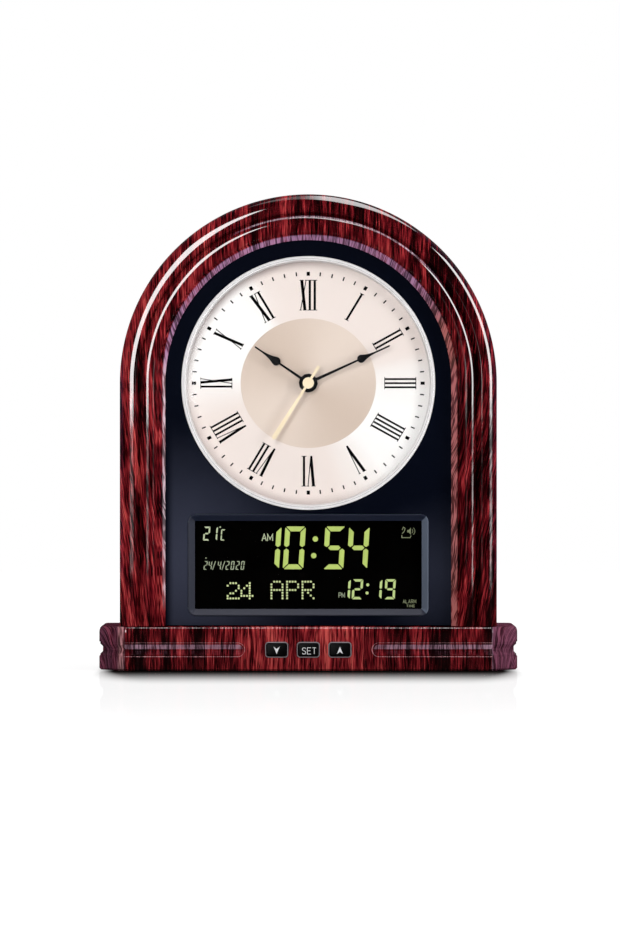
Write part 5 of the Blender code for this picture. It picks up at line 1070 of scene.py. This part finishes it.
def ten_glyph():
    """A wide stroke down to the right crossed by a hairline."""
    thick, thin = THICK_SHARE, THIN_SHARE
    total = THICK_LEAN_SHARE + THIN_LEAN_SHARE

    def wide(level):
        return THICK_LEAN_SHARE * (1 - 2 * level)

    def fine(level):
        return -THIN_LEAN_SHARE * (1 - 2 * level)

    def crotch(offset):
        return (1 + offset / total) / 2

    bottom, top = crotch(-thick - thin), crotch(thick + thin)
    left, right = crotch(thin - thick), crotch(thick - thin)
    points = serif_end(-THIN_LEAN_SHARE, THIN_FOOT_SHARE, thin, fine, 0, 1)
    points += [(wide(bottom) - thick, bottom)]
    points += serif_end(THICK_LEAN_SHARE, THICK_FOOT_SHARE, thick, wide, 0, 1)
    points += [(wide(right) + thick, right)]
    points += reversed(serif_end(THIN_LEAN_SHARE, THIN_FOOT_SHARE, thin, fine, 1, -1))
    points += [(wide(top) + thick, top)]
    points += reversed(serif_end(-THICK_LEAN_SHARE, THICK_FOOT_SHARE, thick, wide, 1, -1))
    points += [(wide(left) - thick, left)]
    return points


def five_glyph():
    """A wide stroke and a hairline that meet at the foot."""
    thick, thin, reach = THICK_SHARE, THIN_SHARE, FIVE_LEAN_SHARE

    def wide(level):
        return -reach * level

    def fine(level):
        return reach * level

    crotch = (thick + thin) / (2 * reach)
    points = [(-thick, 0), (thin, 0)]
    points += reversed(serif_end(reach, THIN_FOOT_SHARE, thin, fine, 1, -1))
    points += [(wide(crotch) + thick, crotch)]
    points += reversed(serif_end(-reach, THICK_FOOT_SHARE, thick, wide, 1, -1))
    return points


def on_dial(dial, across, out, angle):
    """A place on the dial's printing, from a place across and along a ray."""
    x = out * math.sin(angle) + across * math.cos(angle)
    z = out * math.cos(angle) - across * math.sin(angle)
    return (x * dial.stretch_across, DIAL_CENTRE + z * dial.stretch_up)


def make_numerals(dial):
    glyphs = {"I": stem_glyph(), "V": five_glyph(), "X": ten_glyph()}
    outlines = []
    for hour, (text, narrow) in enumerate(zip(NUMERALS, NUMERAL_WIDTH_SHARES), 1):
        angle = 2 * math.pi * hour / len(NUMERALS)
        left = -sum(GLYPH_SHARES[sign] for sign in text) / 2
        for sign in text:
            middle = left + GLYPH_SHARES[sign] / 2
            left += GLYPH_SHARES[sign]
            outline = []
            for across, level in glyphs[sign]:
                sideways = (middle + across) * dial.numeral_height * narrow
                out = dial.numeral_foot + level * dial.numeral_height
                outline.append(on_dial(dial, sideways, out, angle))
            outlines.append(outline)
    add_print("dial_numerals", outlines, DIAL_LOW.y, "dial_print")


def make_minute_track(dial):
    outlines = []
    near = dial.track_radius - dial.tick_length / 2
    far = dial.track_radius + dial.tick_length / 2
    for minute in range(60):
        half = (dial.minute_width if minute % 5 else dial.hour_width) / 2
        corners = ((-half, near), (half, near), (half, far), (-half, far))
        outlines.append([on_dial(dial, *corner, 2 * math.pi * minute / 60) for corner in corners])
    add_print("dial_minute_track", outlines, DIAL_LOW.y, "dial_print")


# Display

def make_bezel(display):
    """The display's frame: a sloped face round the window, and the ears behind the panel."""
    wide, tall = BEZEL_HIGH.x * 2 - 2 * display.ear, BEZEL_HIGH.z - BEZEL_LOW.z
    front, back = BEZEL_LOW.y, BEZEL_HIGH.y

    def frame_at(inset):
        radius = max(display.corner - inset, display.edge_rim)
        return rounded(wide - 2 * inset, tall - 2 * inset, radius, (0, DISPLAY_CENTRE))

    soft = display.edge_rim / 3
    rows = ((display.border, back), (display.border, front + display.slope_depth),
            (display.border - soft, front + display.slope_depth - soft),
            (display.edge_rim + soft, front + soft), (display.edge_rim, front),
            (soft, front), (0, front + soft), (0, back))
    bm = loft([(frame_at(inset), depth) for inset, depth in rows], True)
    for side in (-1, 1):
        middle = side * (wide / 2 + display.ear / 2)
        ear = rounded(display.ear, tall - 2 * display.corner, display.edge_rim, (middle, DISPLAY_CENTRE), 3)
        prism(ear, back - display.ear_thickness, back, bm)
    add_piece("display_bezel", bm, "bezel", ("lcd_bezel",), angle=BEZEL_SHADE_ANGLE)


# Seven bars of a digit: top, upper right, lower right, foot, lower left, upper left, middle
DIGIT_BARS = {"0": "abcdef", "1": "bc", "2": "abged", "4": "fgbc", "5": "afgcd", "9": "abcdfg", "C": "adef"}
BAR_POINT_SHARE = 0.36
BAR_CHAMFER_SHARE = 0.22


def digit_bars(width, height, bar, gap):
    """Outlines of the seven bars from the digit's lower left corner: mitred corners, pointed middles."""
    middle = height / 2
    point = bar * BAR_POINT_SHARE
    trim = bar * BAR_CHAMFER_SHARE
    far = width - gap
    top = [(gap + trim, height), (far - trim, height), (far - trim / 2, height - trim / 2),
           (far - bar, height - bar), (bar + gap, height - bar), (gap + trim / 2, height - trim / 2)]
    upper_right = [(width, height - gap - trim), (width, middle + gap + point),
                   (width - bar / 2, middle + gap), (width - bar, middle + gap + point),
                   (width - bar, height - bar - gap),
                   (width - trim / 2, height - gap - trim / 2)]
    inner = bar / 2 + 2 * gap
    half = bar / 2 - gap / 4
    centre = [(inner, middle), (inner + half, middle + half), (width - inner - half, middle + half),
              (width - inner, middle), (width - inner - half, middle - half), (inner + half, middle - half)]

    def flipped(outline):
        return [(x, height - z) for x, z in outline]

    def mirrored(outline):
        return [(width - x, z) for x, z in outline]

    return {
        "a": top, "b": upper_right, "c": flipped(upper_right), "d": flipped(top),
        "e": mirrored(flipped(upper_right)), "f": mirrored(upper_right), "g": centre,
    }


# Rows of (name, finish, text, left ends, foot, width, height, bar, gap, slant), from the display's middle
DIGIT_ROWS = (
    ("clock_digits", "lit", "1054", (-0.0294, -0.0151, 0.0085, 0.0225), -0.0026, 0.0121, 0.0252, 0.0029,
     0.00045, 0.064),
    ("alarm_digits", "lit_small", "1219", (0.0182, 0.0255, 0.0368, 0.0447), -0.0203, 0.0062, 0.0118, 0.0014,
     0.00026, 0.06),
    ("temperature_digits", "lit_pale", "21", (-0.0621, -0.0576), 0.0143, 0.0038, 0.0082, 0.0009,
     0.00016, 0.08),
    ("degree_letter", "lit_pale", "C", (-0.0518,), 0.0143, 0.0026, 0.0066, 0.0007, 0.00012, 0.08),
    ("date_digits", "lit_date", "2442020", (-0.0618, -0.0591, -0.0537, -0.0489, -0.0459, -0.0429, -0.0400),
     -0.0029, 0.0020, 0.0051, 0.00055, 0.00010, 0.12),
)
DATE_STROKES = ((-0.0564, 0.0018), (-0.0509, 0.0018))
BIG_COLON = ((0.00415, 0.0152), (0.0032, 0.0054))
SMALL_COLON = ((0.0350, -0.0118), (0.0346, -0.0166))
BIG_DOT_RADIUS = 0.0016
SMALL_DOT_RADIUS = 0.0009
DOT_STEPS = 16
DATE_STROKE_SHARE = 0.8
DEGREE_PLACE = (-0.0519, 0.0222)
DATE_MARK_PLACE = (-0.0603, 0.0040)
MATRIX_PITCH = 0.00163
MATRIX_DOT = 0.00118
MATRIX_TOP = -0.00935
MATRIX_FOOT = MATRIX_TOP - 7 * MATRIX_PITCH
MATRIX_FIRST_ROW = 6.64
MATRIX_ROUND_SHARE = 0.42
MATRIX_SIGNS = (("2", -0.0481, 0.92), ("4", -0.0400, 0.92), ("A", -0.0223, 1.0), ("P", -0.0131, 1.0),
                ("R", -0.0040, 1.0))
MATRIX_ROWS = {
    "2": (" ### ", "#   #", "    #", "   # ", " ##  ", "#    ", "#####"),
    "4": ("   # ", "  ## ", " # # ", "#  # ", "#  # ", "#####", "   # "),
    "A": (" ### ", "#   #", "#   #", "#####", "#   #", "#   #", "#   #"),
    "P": ("#### ", "#   #", "#   #", "#### ", "#    ", "#    ", "#    "),
    "R": ("#### ", "#   #", "#   #", "#### ", "# #  ", "#  # ", "#   #"),
}

# Plain capitals as strokes in a box of one by one
LETTER_STROKES = {
    "A": (((0, 0), (0.5, 1), (1, 0)), ((0.22, 0.36), (0.78, 0.36))),
    "E": (((1, 0), (0, 0), (0, 1), (1, 1)), ((0, 0.52), (0.85, 0.52))),
    "I": (((0.5, 0), (0.5, 1)),),
    "L": (((0, 1), (0, 0), (1, 0)),),
    "M": (((0, 0), (0, 1), (0.5, 0.25), (1, 1), (1, 0)),),
    "P": (((0, 0), (0, 1), (0.75, 1), (1, 0.87), (1, 0.63), (0.75, 0.5), (0, 0.5)),),
    "R": (((0, 0), (0, 1), (0.75, 1), (1, 0.87), (1, 0.63), (0.75, 0.5), (0, 0.5)), ((0.5, 0.5), (1, 0))),
    "S": (((1, 0.84), (0.84, 0.96), (0.5, 1), (0.16, 0.94), (0.03, 0.76), (0.16, 0.6), (0.5, 0.52),
           (0.84, 0.42), (0.97, 0.25), (0.84, 0.06), (0.5, 0), (0.16, 0.04), (0, 0.16)),),
    "T": (((0, 1), (1, 1)), ((0.5, 1), (0.5, 0))),
}
LETTER_WIDTH_SHARES = {"I": 0.25, "M": 1.15}


def written(text, left, foot, width, height, stroke, spacing):
    """Outlines of a word in plain capitals."""
    outlines = []
    for sign in text:
        wide = width * LETTER_WIDTH_SHARES.get(sign, 1.0)
        for line in LETTER_STROKES[sign]:
            outlines.append(ribbon([(left + x * wide, foot + z * height) for x, z in line], stroke))
        left += wide + spacing
    return outlines


def add_sign(name, outlines, finish):
    """Printed or lit signs on the display's face, from outlines about its middle."""
    lifted = [[(x, DISPLAY_CENTRE + z) for x, z in outline] for outline in outlines]
    add_print(name, lifted, CELL_FACE, finish)


def small_signs(name, foot, height, bar):
    """The dots and strokes that stand beside a row of digits."""
    if name == "clock_digits":
        return [circle(BIG_DOT_RADIUS, DOT_STEPS, place) for place in BIG_COLON]
    if name == "alarm_digits":
        return [circle(SMALL_DOT_RADIUS, DOT_STEPS, place) for place in SMALL_COLON]
    if name == "temperature_digits":
        return [circle(bar / 2, 8, DEGREE_PLACE)]
    if name == "date_digits":
        strokes = [ribbon(((left, foot), (left + lean, foot + height)), bar * DATE_STROKE_SHARE)
                   for left, lean in DATE_STROKES]
        return strokes + [circle(bar, 3, DATE_MARK_PLACE)]
    return []


def make_digits():
    for name, finish, text, lefts, foot, width, height, bar, gap, slant in DIGIT_ROWS:
        bars = digit_bars(width, height, bar, gap)
        outlines = [[(left + x + z * slant, foot + z) for x, z in bars[label]]
                    for sign, left in zip(text, lefts) for label in DIGIT_BARS[sign]]
        add_sign(name, outlines + small_signs(name, foot, height, bar), finish)


def make_matrix_words():
    outlines = []
    for sign, left, height in MATRIX_SIGNS:
        for row, line in enumerate(MATRIX_ROWS[sign]):
            for column, mark in enumerate(line):
                if mark == "#":
                    x = left + column * MATRIX_PITCH + MATRIX_DOT / 2
                    z = MATRIX_FOOT + (MATRIX_FIRST_ROW - row) * MATRIX_PITCH * height
                    radius = MATRIX_DOT * MATRIX_ROUND_SHARE
                    outlines.append(rounded(MATRIX_DOT, MATRIX_DOT, radius, (x, z), 3))
    add_sign("month_words", outlines, "lit_dots")


# Left end, foot, letter width, height, stroke and spacing of the small words
SMALL_WORDS = {
    "AM": (-0.0273, 0.0141, 0.0026, 0.0040, 0.00055, 0.0007),
    "PM": (0.0180, -0.0193, 0.0014, 0.0028, 0.00036, 0.0004),
    "ALARM": (0.0558, -0.0226, 0.0011, 0.0020, 0.00032, 0.0005),
    "TIME": (0.0578, -0.0249, 0.0011, 0.0013, 0.00028, 0.0004),
}
HORN = [(0.0583, 0.0205), (0.0592, 0.0205), (0.0604, 0.0219), (0.0604, 0.0177), (0.0592, 0.0191),
        (0.0583, 0.0191)]
WAVE_CENTRE = (0.0602, 0.0198)
WAVE_RADII = (0.0014, 0.0026)
WAVE_STROKE = 0.00034
STAND_STROKE = 0.00045
STAND_LINES = (
    ((0.0553, 0.0205), (0.0560, 0.0222), (0.0570, 0.0215), (0.0565, 0.0196), (0.0553, 0.0184)),
    ((0.0551, 0.0176), (0.0551, 0.0160), (0.0600, 0.0160), (0.0605, 0.0172)),
)


def make_small_signs():
    words = {text: written(text, *sizes) for text, sizes in SMALL_WORDS.items()}
    add_sign("half_day_words", words["AM"], "lit_pale")
    add_sign("alarm_half_day_words", words["PM"], "lit_date")
    waves = []
    for radius in WAVE_RADII:
        arc = [(WAVE_CENTRE[0] + radius * math.cos(math.radians(turn)),
                WAVE_CENTRE[1] + radius * math.sin(math.radians(turn))) for turn in range(-50, 51, 20)]
        waves.append(ribbon(arc, WAVE_STROKE))
    stand = [ribbon(line, STAND_STROKE) for line in STAND_LINES]
    add_sign("alarm_signs", words["ALARM"] + words["TIME"] + [HORN] + waves + stand, "lit_dim")


# Buttons
BUTTON_FLANGE = 0.0010
BUTTON_WALL = 0.0028
BUTTON_FLANGE_THICKNESS = 0.0008
BUTTON_STEM_RADIUS = 0.0016
CAP_STEPS = 4
ARROW_WIDTH = 0.0036
ARROW_HEIGHT = 0.0044
ARROW_NOTCH_SHARE = 0.30
ARROW_DROP = 0.0003
WORD_SHIFT = (0.0005, -0.0006)
WORD_LETTER_WIDTH = 0.0021
WORD_HEIGHT = 0.0037
WORD_STROKE = 0.00036
WORD_SPACING = 0.0009


def make_button(name, buttons):
    """One cap with its flange and stem, the sign on it and the trim round it."""
    low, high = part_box("button_" + name)
    body = "key_" + name
    centre = ((low.x + high.x) / 2, (low.z + high.z) / 2)
    width = high.x - low.x - 2 * BUTTON_FLANGE
    height = high.z - low.z - 2 * BUTTON_FLANGE
    corner, edge = buttons.cap_corner, buttons.cap_edge

    def outline(grow, corner_share=1):
        return rounded(width + 2 * grow, height + 2 * grow, corner + grow * corner_share, centre)

    face = low.y + PRINT_THICKNESS
    sections = []
    for level in range(CAP_STEPS + 1):
        angle = math.pi / 2 * level / CAP_STEPS
        sections.append((outline(-edge * (1 - math.sin(angle))), face + edge * (1 - math.cos(angle))))
    skirt = BASE_LOW.y + BUTTON_WALL
    behind = skirt + BUTTON_FLANGE_THICKNESS
    flange = outline(BUTTON_FLANGE, 0.5)
    stem = circle(BUTTON_STEM_RADIUS, len(flange), centre)
    sections += [(outline(0), skirt), (flange, skirt), (flange, behind), (stem, behind), (stem, high.y)]
    add_piece("button_cap_" + name, loft(sections), "button_black",
              ("button_" + name,), body)
    make_button_sign(name, body, centre, face)
    gap = buttons.rim_gap
    far = gap + buttons.rim_width
    soft = buttons.rim_width / 4
    top, root = BASE_LOW.y - buttons.rim_proud, BASE_LOW.y + buttons.rim_depth
    rows = ((gap, root), (gap, top + soft), (gap + soft, top), (far - soft, top),
            (far, top + soft), (far, root))
    ring = loft([(outline(grow), depth) for grow, depth in rows], True)
    add_piece("button_rim_" + name, ring, "trim_silver")


def make_button_sign(name, body, centre, face):
    x, z = centre
    if name == "set":
        total = 3 * WORD_LETTER_WIDTH + 2 * WORD_SPACING
        left, foot = x - total / 2 + WORD_SHIFT[0], z - WORD_HEIGHT / 2 + WORD_SHIFT[1]
        outlines = written("SET", left, foot, WORD_LETTER_WIDTH, WORD_HEIGHT, WORD_STROKE, WORD_SPACING)
    else:
        z -= ARROW_DROP
        height = ARROW_HEIGHT if name == "up" else -ARROW_HEIGHT
        tip, foot, side = z + height / 2, z - height / 2, ARROW_WIDTH / 2
        outlines = [[(x, tip), (x + side, foot), (x, foot + height * ARROW_NOTCH_SHARE), (x - side, foot)]]
    add_print("button_sign_" + name, outlines, face, "button_print", body)


# Fasteners and contacts
SCREW_CROSS_REACH = 0.0017
SCREW_CROSS_HALF = 0.00032
SCREW_CROSS_DEPTH = 0.0009
SCREW_CROSS_TAPER = 0.8
THREAD_PITCH = 0.0010
THREAD_ROOT_SHARE = 0.80
HEAD_STEPS = 6
SCREW_STEPS = 24


def screw_mesh(name, head, reach, rise):
    """A pan head screw along +Y, its head over zero, with a cross recess in the head."""
    shank = head / 2
    profile = [(0, rise)]
    for index in range(1, HEAD_STEPS + 1):
        angle = math.pi / 2 * index / HEAD_STEPS
        profile.append((head * math.sin(angle), rise * (0.45 + 0.55 * math.cos(angle))))
    profile += [(head, 0), (shank, 0)]
    turns = int(reach / THREAD_PITCH)
    for index in range(turns):
        profile.append((shank * (THREAD_ROOT_SHARE if index % 2 else 1.0), -reach * (index + 0.5) / turns))
    profile.append((0, -reach))
    cutters = []
    for wide, tall in ((SCREW_CROSS_REACH, SCREW_CROSS_HALF), (SCREW_CROSS_HALF, SCREW_CROSS_REACH)):
        outline = ((-wide, -tall), (wide, -tall), (wide, tall), (-wide, tall))
        small = [(x * SCREW_CROSS_TAPER, z * SCREW_CROSS_TAPER) for x, z in outline]
        cutter = loft(((small, rise - SCREW_CROSS_DEPTH), (outline, rise * 1.5)))
        cutters.append(finished_mesh("cross", cutter))
    return carve(finished_mesh(name, turned(profile, SCREW_STEPS)), cutters)


def middle_of(node):
    low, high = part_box(node)
    return Vector(((low.x + high.x) / 2, (low.y + high.y) / 2, (low.z + high.z) / 2))


def put_screw(name, mesh, place, turn=0.0, replaces=()):
    piece = add_piece(name, mesh, "steel", replaces)
    piece.rotation_euler = (turn, 0, 0)
    piece.location = place


# Hidden screws: name, place of the seat, turn about X, and reach
UPWARD = -math.pi / 2
PLINTH_WALL = 0.0025
BOARD_SCREW_INSET = 0.003
KEY_SCREW_INSET = 0.0035
BOARD_THICKNESS = 0.0016
BOARD_SIDES = (("left", BOARD_LOW.x + BOARD_SCREW_INSET), ("right", BOARD_HIGH.x - BOARD_SCREW_INSET))
HIDDEN_SCREWS = [
    *[("arch_screw_" + side, (x, 0.0, BASE_HIGH.z - PLINTH_WALL), UPWARD, 0.0060)
      for side, x in (("left", -0.0842), ("left_middle", -0.0237), ("right_middle", 0.0237),
                      ("right", 0.0842))],
    *[("key_screw_" + side, (x, KEYS_HIGH.y, (KEYS_HIGH.z + KEYS_LOW.z) / 2), 0.0, 0.0045)
      for side, x in (("left", KEYS_LOW.x + KEY_SCREW_INSET), ("right", KEYS_HIGH.x - KEY_SCREW_INSET))],
    *[("board_screw_" + side + end, (x, BOARD_LOW.y + BOARD_THICKNESS, z), 0.0, 0.0040)
      for end, z in (("_foot", BOARD_LOW.z + BOARD_SCREW_INSET), ("_top", BOARD_HIGH.z - BOARD_SCREW_INSET))
      for side, x in BOARD_SIDES],
]
SMALL_SCREW_HEAD = 0.0022
SMALL_SCREW_RISE = 0.0013


def make_screws():
    """Detailed screws in place of the plain ones at the rear and under the plinth, and the hidden ones."""
    low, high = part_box("back_screw_1")
    rise = high.y - COVER_BACK - PRINT_THICKNESS
    mesh = screw_mesh("rear_screw", (high.x - low.x) / 2, COVER_BACK - low.y, rise)
    for label in "123456":
        name = "back_screw_" + label
        seat = middle_of(name)
        place = (seat.x, COVER_BACK + PRINT_THICKNESS, seat.z)
        put_screw("rear_pan_screw_" + label, mesh, place, replaces=(name,))
    for corner in ("left_front", "left_rear", "right_front", "right_rear"):
        name = "base_screw_" + corner
        seat = middle_of(name)
        place = (seat.x, seat.y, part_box(name)[0].z + rise)
        put_screw("plinth_pan_screw_" + corner, mesh, place, UPWARD, (name,))
    for name, place, turn, reach in HIDDEN_SCREWS:
        put_screw(name, screw_mesh(name, SMALL_SCREW_HEAD, reach, SMALL_SCREW_RISE), place, turn)


SPRING_WIRE = 0.00028
SPRING_TURNS = 4
SPRING_STEPS = 20
SPRING_RADII = (0.0024, 0.0046)
SPRING_ROOM = -0.0003
LEAF_ROOM = 0.0007
LEAF_HALF = 0.0030
# Section of a leaf as (out, up): the curled blade's outer face, and its inner face on the way back
LEAF_SECTION = ((0, 0.0042), (0.00025, 0.0042), (0.00045, 0.0012), (0.00065, 0), (0.00045, -0.0012),
                (0.00025, -0.0042), (0, -0.0042), (0.00025, -0.0012), (0.00042, 0), (0.00025, 0.0012))


def make_spring(name, start, wall):
    """A conical spring along X: narrow at the cell, wide at the wall."""
    bm = bmesh.new()
    rings = []
    total = SPRING_TURNS * SPRING_STEPS
    for index in range(total + 1):
        gone = index / total
        turn = 2 * math.pi * index / SPRING_STEPS
        radius = SPRING_RADII[0] + (SPRING_RADII[1] - SPRING_RADII[0]) * gone
        along = start.x + (wall - start.x) * gone
        rings.append([bm.verts.new((along + x, start.y + (radius + out) * math.cos(turn),
                                    start.z + (radius + out) * math.sin(turn)))
                      for x, out in circle(SPRING_WIRE, 8)])
    add_piece(name, skin(bm, rings, capped=True), "steel")


def make_contacts():
    """A spring for each battery cell, and the two bent leaves of the movement's cell."""
    walls = {1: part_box("battery_cell_2")[1].x + SPRING_ROOM, -1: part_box("battery_cell_1")[0].x - SPRING_ROOM}
    for index, way in enumerate((1, -1, 1), 1):
        node = "battery_cell_" + str(index)
        start = middle_of(node)
        start.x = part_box(node)[1 if way > 0 else 0].x + way * SPRING_WIRE * 1.5
        make_spring("battery_spring_" + str(index), start, walls[way])
    low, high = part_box("movement_cell")
    seat = middle_of("movement_cell")
    for side, x, way in (("left", low.x - LEAF_ROOM, 1), ("right", high.x + LEAF_ROOM, -1)):
        outline = [(x + way * out, seat.z + up) for out, up in LEAF_SECTION]
        add_piece("movement_contact_" + side, prism(outline, seat.y - LEAF_HALF, seat.y + LEAF_HALF), "brass")


# Stage
# Name, place, target, width, height and power
LAMPS = (
    ("left softbox", (-0.475, -1.50, 0.60), (-0.05, 0.0, 0.60), 0.55, 0.88, 10.4),
    ("left foot softbox", (-0.475, -1.50, 0.09), (-0.05, 0.0, 0.09), 0.55, 0.14, 0.30),
    ("right softbox", (1.245, -0.905, 0.805), (0.0, 0.0, 0.805), 0.46, 1.27, 12.0),
    ("right foot softbox", (1.245, -0.905, 0.09), (0.0, 0.0, 0.09), 0.46, 0.16, 0.75),
    ("overhead softbox", (0.25, -0.32, 1.70), (0.10, -0.20, 0.0), 1.20, 1.10, 17.5),
)
WHITE = (1, 1, 1)
FLOOR_COLOUR = (0.86, 0.86, 0.86)
CONTACT_SHADE = (0.01, 0.008, 0.007)
FLOOR_NEAR = 0.30
FLOOR_FAR = 1.20
FLOOR_NEAR_GLOW = 0.86
FLOOR_SEEN = 0.20
FLOOR_GLOSS = 0.02
CONTACT_REACH = 0.15
CONTACT_INSET = 0.009
CONTACT_EDGE = 0.080
CONTACT_BLUR = 2.0
CONTACT_REAR_RATE = 4.0
CONTACT_TAPER = 0.25
MIRROR_NEAR = 0.14
MIRROR_REACH = (0.10, 1.05)
MIRROR_ROUGHNESS = 0.035


def make_lamps():
    for name, place, target, width, height, watts in LAMPS:
        data = bpy.data.lights.new(name, "AREA")
        data.shape = "RECTANGLE"
        data.size, data.size_y, data.energy = width, height, watts
        lamp = add_object(name, data)
        lamp.location = place
        lamp.rotation_euler = (Vector(target) - lamp.location).to_track_quat("-Z", "Y").to_euler()


def in_gloss(rays):
    return most(rays["Is Glossy Ray"], rays["Is Transmission Ray"])


def make_world(stage):
    """White to the camera; in gloss dark in front, tinted beside and white over and behind the clock."""
    world = bpy.data.worlds.new("studio")
    bpy.context.scene.world = world
    world.use_nodes = True
    tree = world.node_tree
    rays = light_rays(tree)
    x, y, z = split(position(tree, "Generated"))
    behind = most(y.spread(0.1, 0.5) * z.spread(0.15, 0.55), y.spread(0.86, 0.96))
    sides = mix(x.spread(-0.3, 0.3, 1.0, 0.7), (0, 0, 0), stage.side_tint)
    studio = mix(y.spread(-0.45, -0.10), (stage.front_dark,) * 3, sides)
    plain = y.spread(0.0, 0.6, stage.ambient, stage.ambient_behind)
    seen = mix(in_gloss(rays), plain, mix(behind, studio, WHITE))
    fill(tree.nodes["Background"], {"Color": mix(rays["Is Camera Ray"], seen, WHITE), "Strength": 1.0})


def floor_material(stage):
    """White floor with a painted contact shadow round the plinth, the clock's cast shadow and a faint reflection
    of it.
    """
    material, tree, shader = blank_material("floor", FLOOR_COLOUR, 0.9, specular_ior_level=0.0)
    rays = light_rays(tree)
    camera, gloss = rays["Is Camera Ray"], in_gloss(rays)
    x, y, z = split(position(tree))
    # Painted contact shadow: darkest at the plinth, longest in front, tapering off at the sides and short behind
    front = y * -1.0 - BASE_HIGH.y
    ahead = most(front, 0.0)
    flank = ahead * -CONTACT_TAPER + (BASE_HIGH.x - CONTACT_INSET)
    beside = most(abs(x) - flank, 0.0) / (ahead * CONTACT_BLUR + CONTACT_EDGE)
    away = span(beside, most(y - BASE_HIGH.y, 0.0) * CONTACT_REAR_RATE + ahead)
    open_share = away.spread(0.0, CONTACT_REACH)
    lit = mix(camera, FLOOR_COLOUR, (FLOOR_SEEN,) * 3)
    fill(shader, {"Base Color": mix(open_share, CONTACT_SHADE, lit)})
    white = span(x, y).spread(FLOOR_NEAR, FLOOR_FAR, FLOOR_NEAR_GLOW, 1.0) * open_share * camera
    light = add_node(tree, "ShaderNodeEmission", {"Color": WHITE, "Strength": gloss * FLOOR_GLOSS + white})
    unlit = add_node(tree, "ShaderNodeEmission", {"Color": (0, 0, 0)})
    body = mix_shaders(gloss, shader, unlit)
    matt = add_node(tree, "ShaderNodeAddShader", {0: body.outputs[0], 1: light.outputs[0]})
    mirror = add_node(tree, "ShaderNodeBsdfGlossy", {"Color": WHITE, "Roughness": MIRROR_ROUGHNESS})
    shine = front.spread(*MIRROR_REACH, MIRROR_NEAR, 0.0) * front.spread(-0.01, 0.01)
    show(mix_shaders(camera * shine, matt, mirror))
    return material


def make_floor(stage):
    bm = bmesh.new()
    bm.faces.new([bm.verts.new((x, z, 0)) for x, z in circle(stage.floor_size, ROUND_STEPS)])
    floor = add_object("floor", finished_mesh("floor", bm))
    floor.data.materials.append(floor_material(stage))


def make_camera(stage):
    data = bpy.data.cameras.new("camera")
    camera = add_object("camera", data)
    data.sensor_width = 36.0
    data.lens = data.sensor_width * stage.camera_distance / stage.view_height
    data.clip_end = 50.0
    camera.location = (stage.camera_across, ARCH_LOW.y - stage.camera_distance, stage.camera_height)
    camera.rotation_euler = (math.pi / 2, 0, 0)
    bpy.context.scene.camera = camera


# Operators

class ClockStage(bpy.types.Operator):
    """Build the floor, lamps, world and camera"""
    bl_idname = "mantel_clock.stage"
    bl_label = "Stage"

    def execute(self, context):
        stage = context.scene.clock_stage
        context.scene.view_settings.view_transform = "Standard"
        make_floor(stage)
        make_world(stage)
        make_lamps()
        make_camera(stage)
        return {"FINISHED"}


class ClockFinishes(bpy.types.Operator):
    """Make every finish and lay it on the nodes of the frame"""
    bl_idname = "mantel_clock.finishes"
    bl_label = "Finishes"

    def execute(self, context):
        make_materials()
        finish_frame_nodes()
        return {"FINISHED"}


class ClockCase(bpy.types.Operator):
    """Sweep the arched moulding"""
    bl_idname = "mantel_clock.case"
    bl_label = "Case"

    def execute(self, context):
        make_arch(context.scene.clock_case)
        return {"FINISHED"}


class ClockDial(bpy.types.Operator):
    """Build the dial, its printing, the trim ring and the lens"""
    bl_idname = "mantel_clock.dial"
    bl_label = "Dial"

    def execute(self, context):
        dial = context.scene.clock_dial
        make_dial_plate(dial)
        make_minute_track(dial)
        make_numerals(dial)
        make_ring_and_lens(dial)
        return {"FINISHED"}


class ClockDisplay(bpy.types.Operator):
    """Build the display bezel and every lit sign"""
    bl_idname = "mantel_clock.display"
    bl_label = "Display"

    def execute(self, context):
        make_bezel(context.scene.clock_display)
        make_digits()
        make_matrix_words()
        make_small_signs()
        return {"FINISHED"}


class ClockButtons(bpy.types.Operator):
    """Build the button caps, their signs and their trims"""
    bl_idname = "mantel_clock.buttons"
    bl_label = "Buttons"

    def execute(self, context):
        for name in ("down", "set", "up"):
            make_button(name, context.scene.clock_buttons)
        return {"FINISHED"}


class ClockFasteners(bpy.types.Operator):
    """Build the screws and the battery contacts"""
    bl_idname = "mantel_clock.fasteners"
    bl_label = "Fasteners"

    def execute(self, context):
        make_screws()
        make_contacts()
        return {"FINISHED"}


OPERATORS = (ClockStage, ClockFinishes, ClockCase, ClockDial, ClockDisplay, ClockButtons, ClockFasteners)


class ClockPanel(bpy.types.Panel):
    """Lists the clock's pieces in the sidebar"""
    bl_idname = "VIEW3D_PT_mantel_clock"
    bl_label = "Mantel Clock"
    bl_space_type = "VIEW_3D"
    bl_region_type = "UI"
    bl_category = "Clock"

    def draw(self, context):
        for operator in OPERATORS:
            self.layout.operator(operator.bl_idname)
        for name, settings in SETTINGS:
            box = self.layout.box()
            box.label(text=settings.__doc__)
            for prop in settings.__annotations__:
                box.prop(getattr(context.scene, name), prop)


def register():
    for name, settings in SETTINGS:
        bpy.utils.register_class(settings)
        setattr(bpy.types.Scene, name, bpy.props.PointerProperty(type=settings))
    for operator in OPERATORS:
        bpy.utils.register_class(operator)
    bpy.utils.register_class(ClockPanel)


def unregister():
    bpy.utils.unregister_class(ClockPanel)
    for operator in reversed(OPERATORS):
        bpy.utils.unregister_class(operator)
    for name, settings in reversed(SETTINGS):
        delattr(bpy.types.Scene, name)
        bpy.utils.unregister_class(settings)


def main():
    register()
    for operator in OPERATORS:
        group, action = operator.bl_idname.split(".")
        getattr(getattr(bpy.ops, group), action)()
    bpy.context.view_layer.update()


if __name__ == "__main__":
    main()
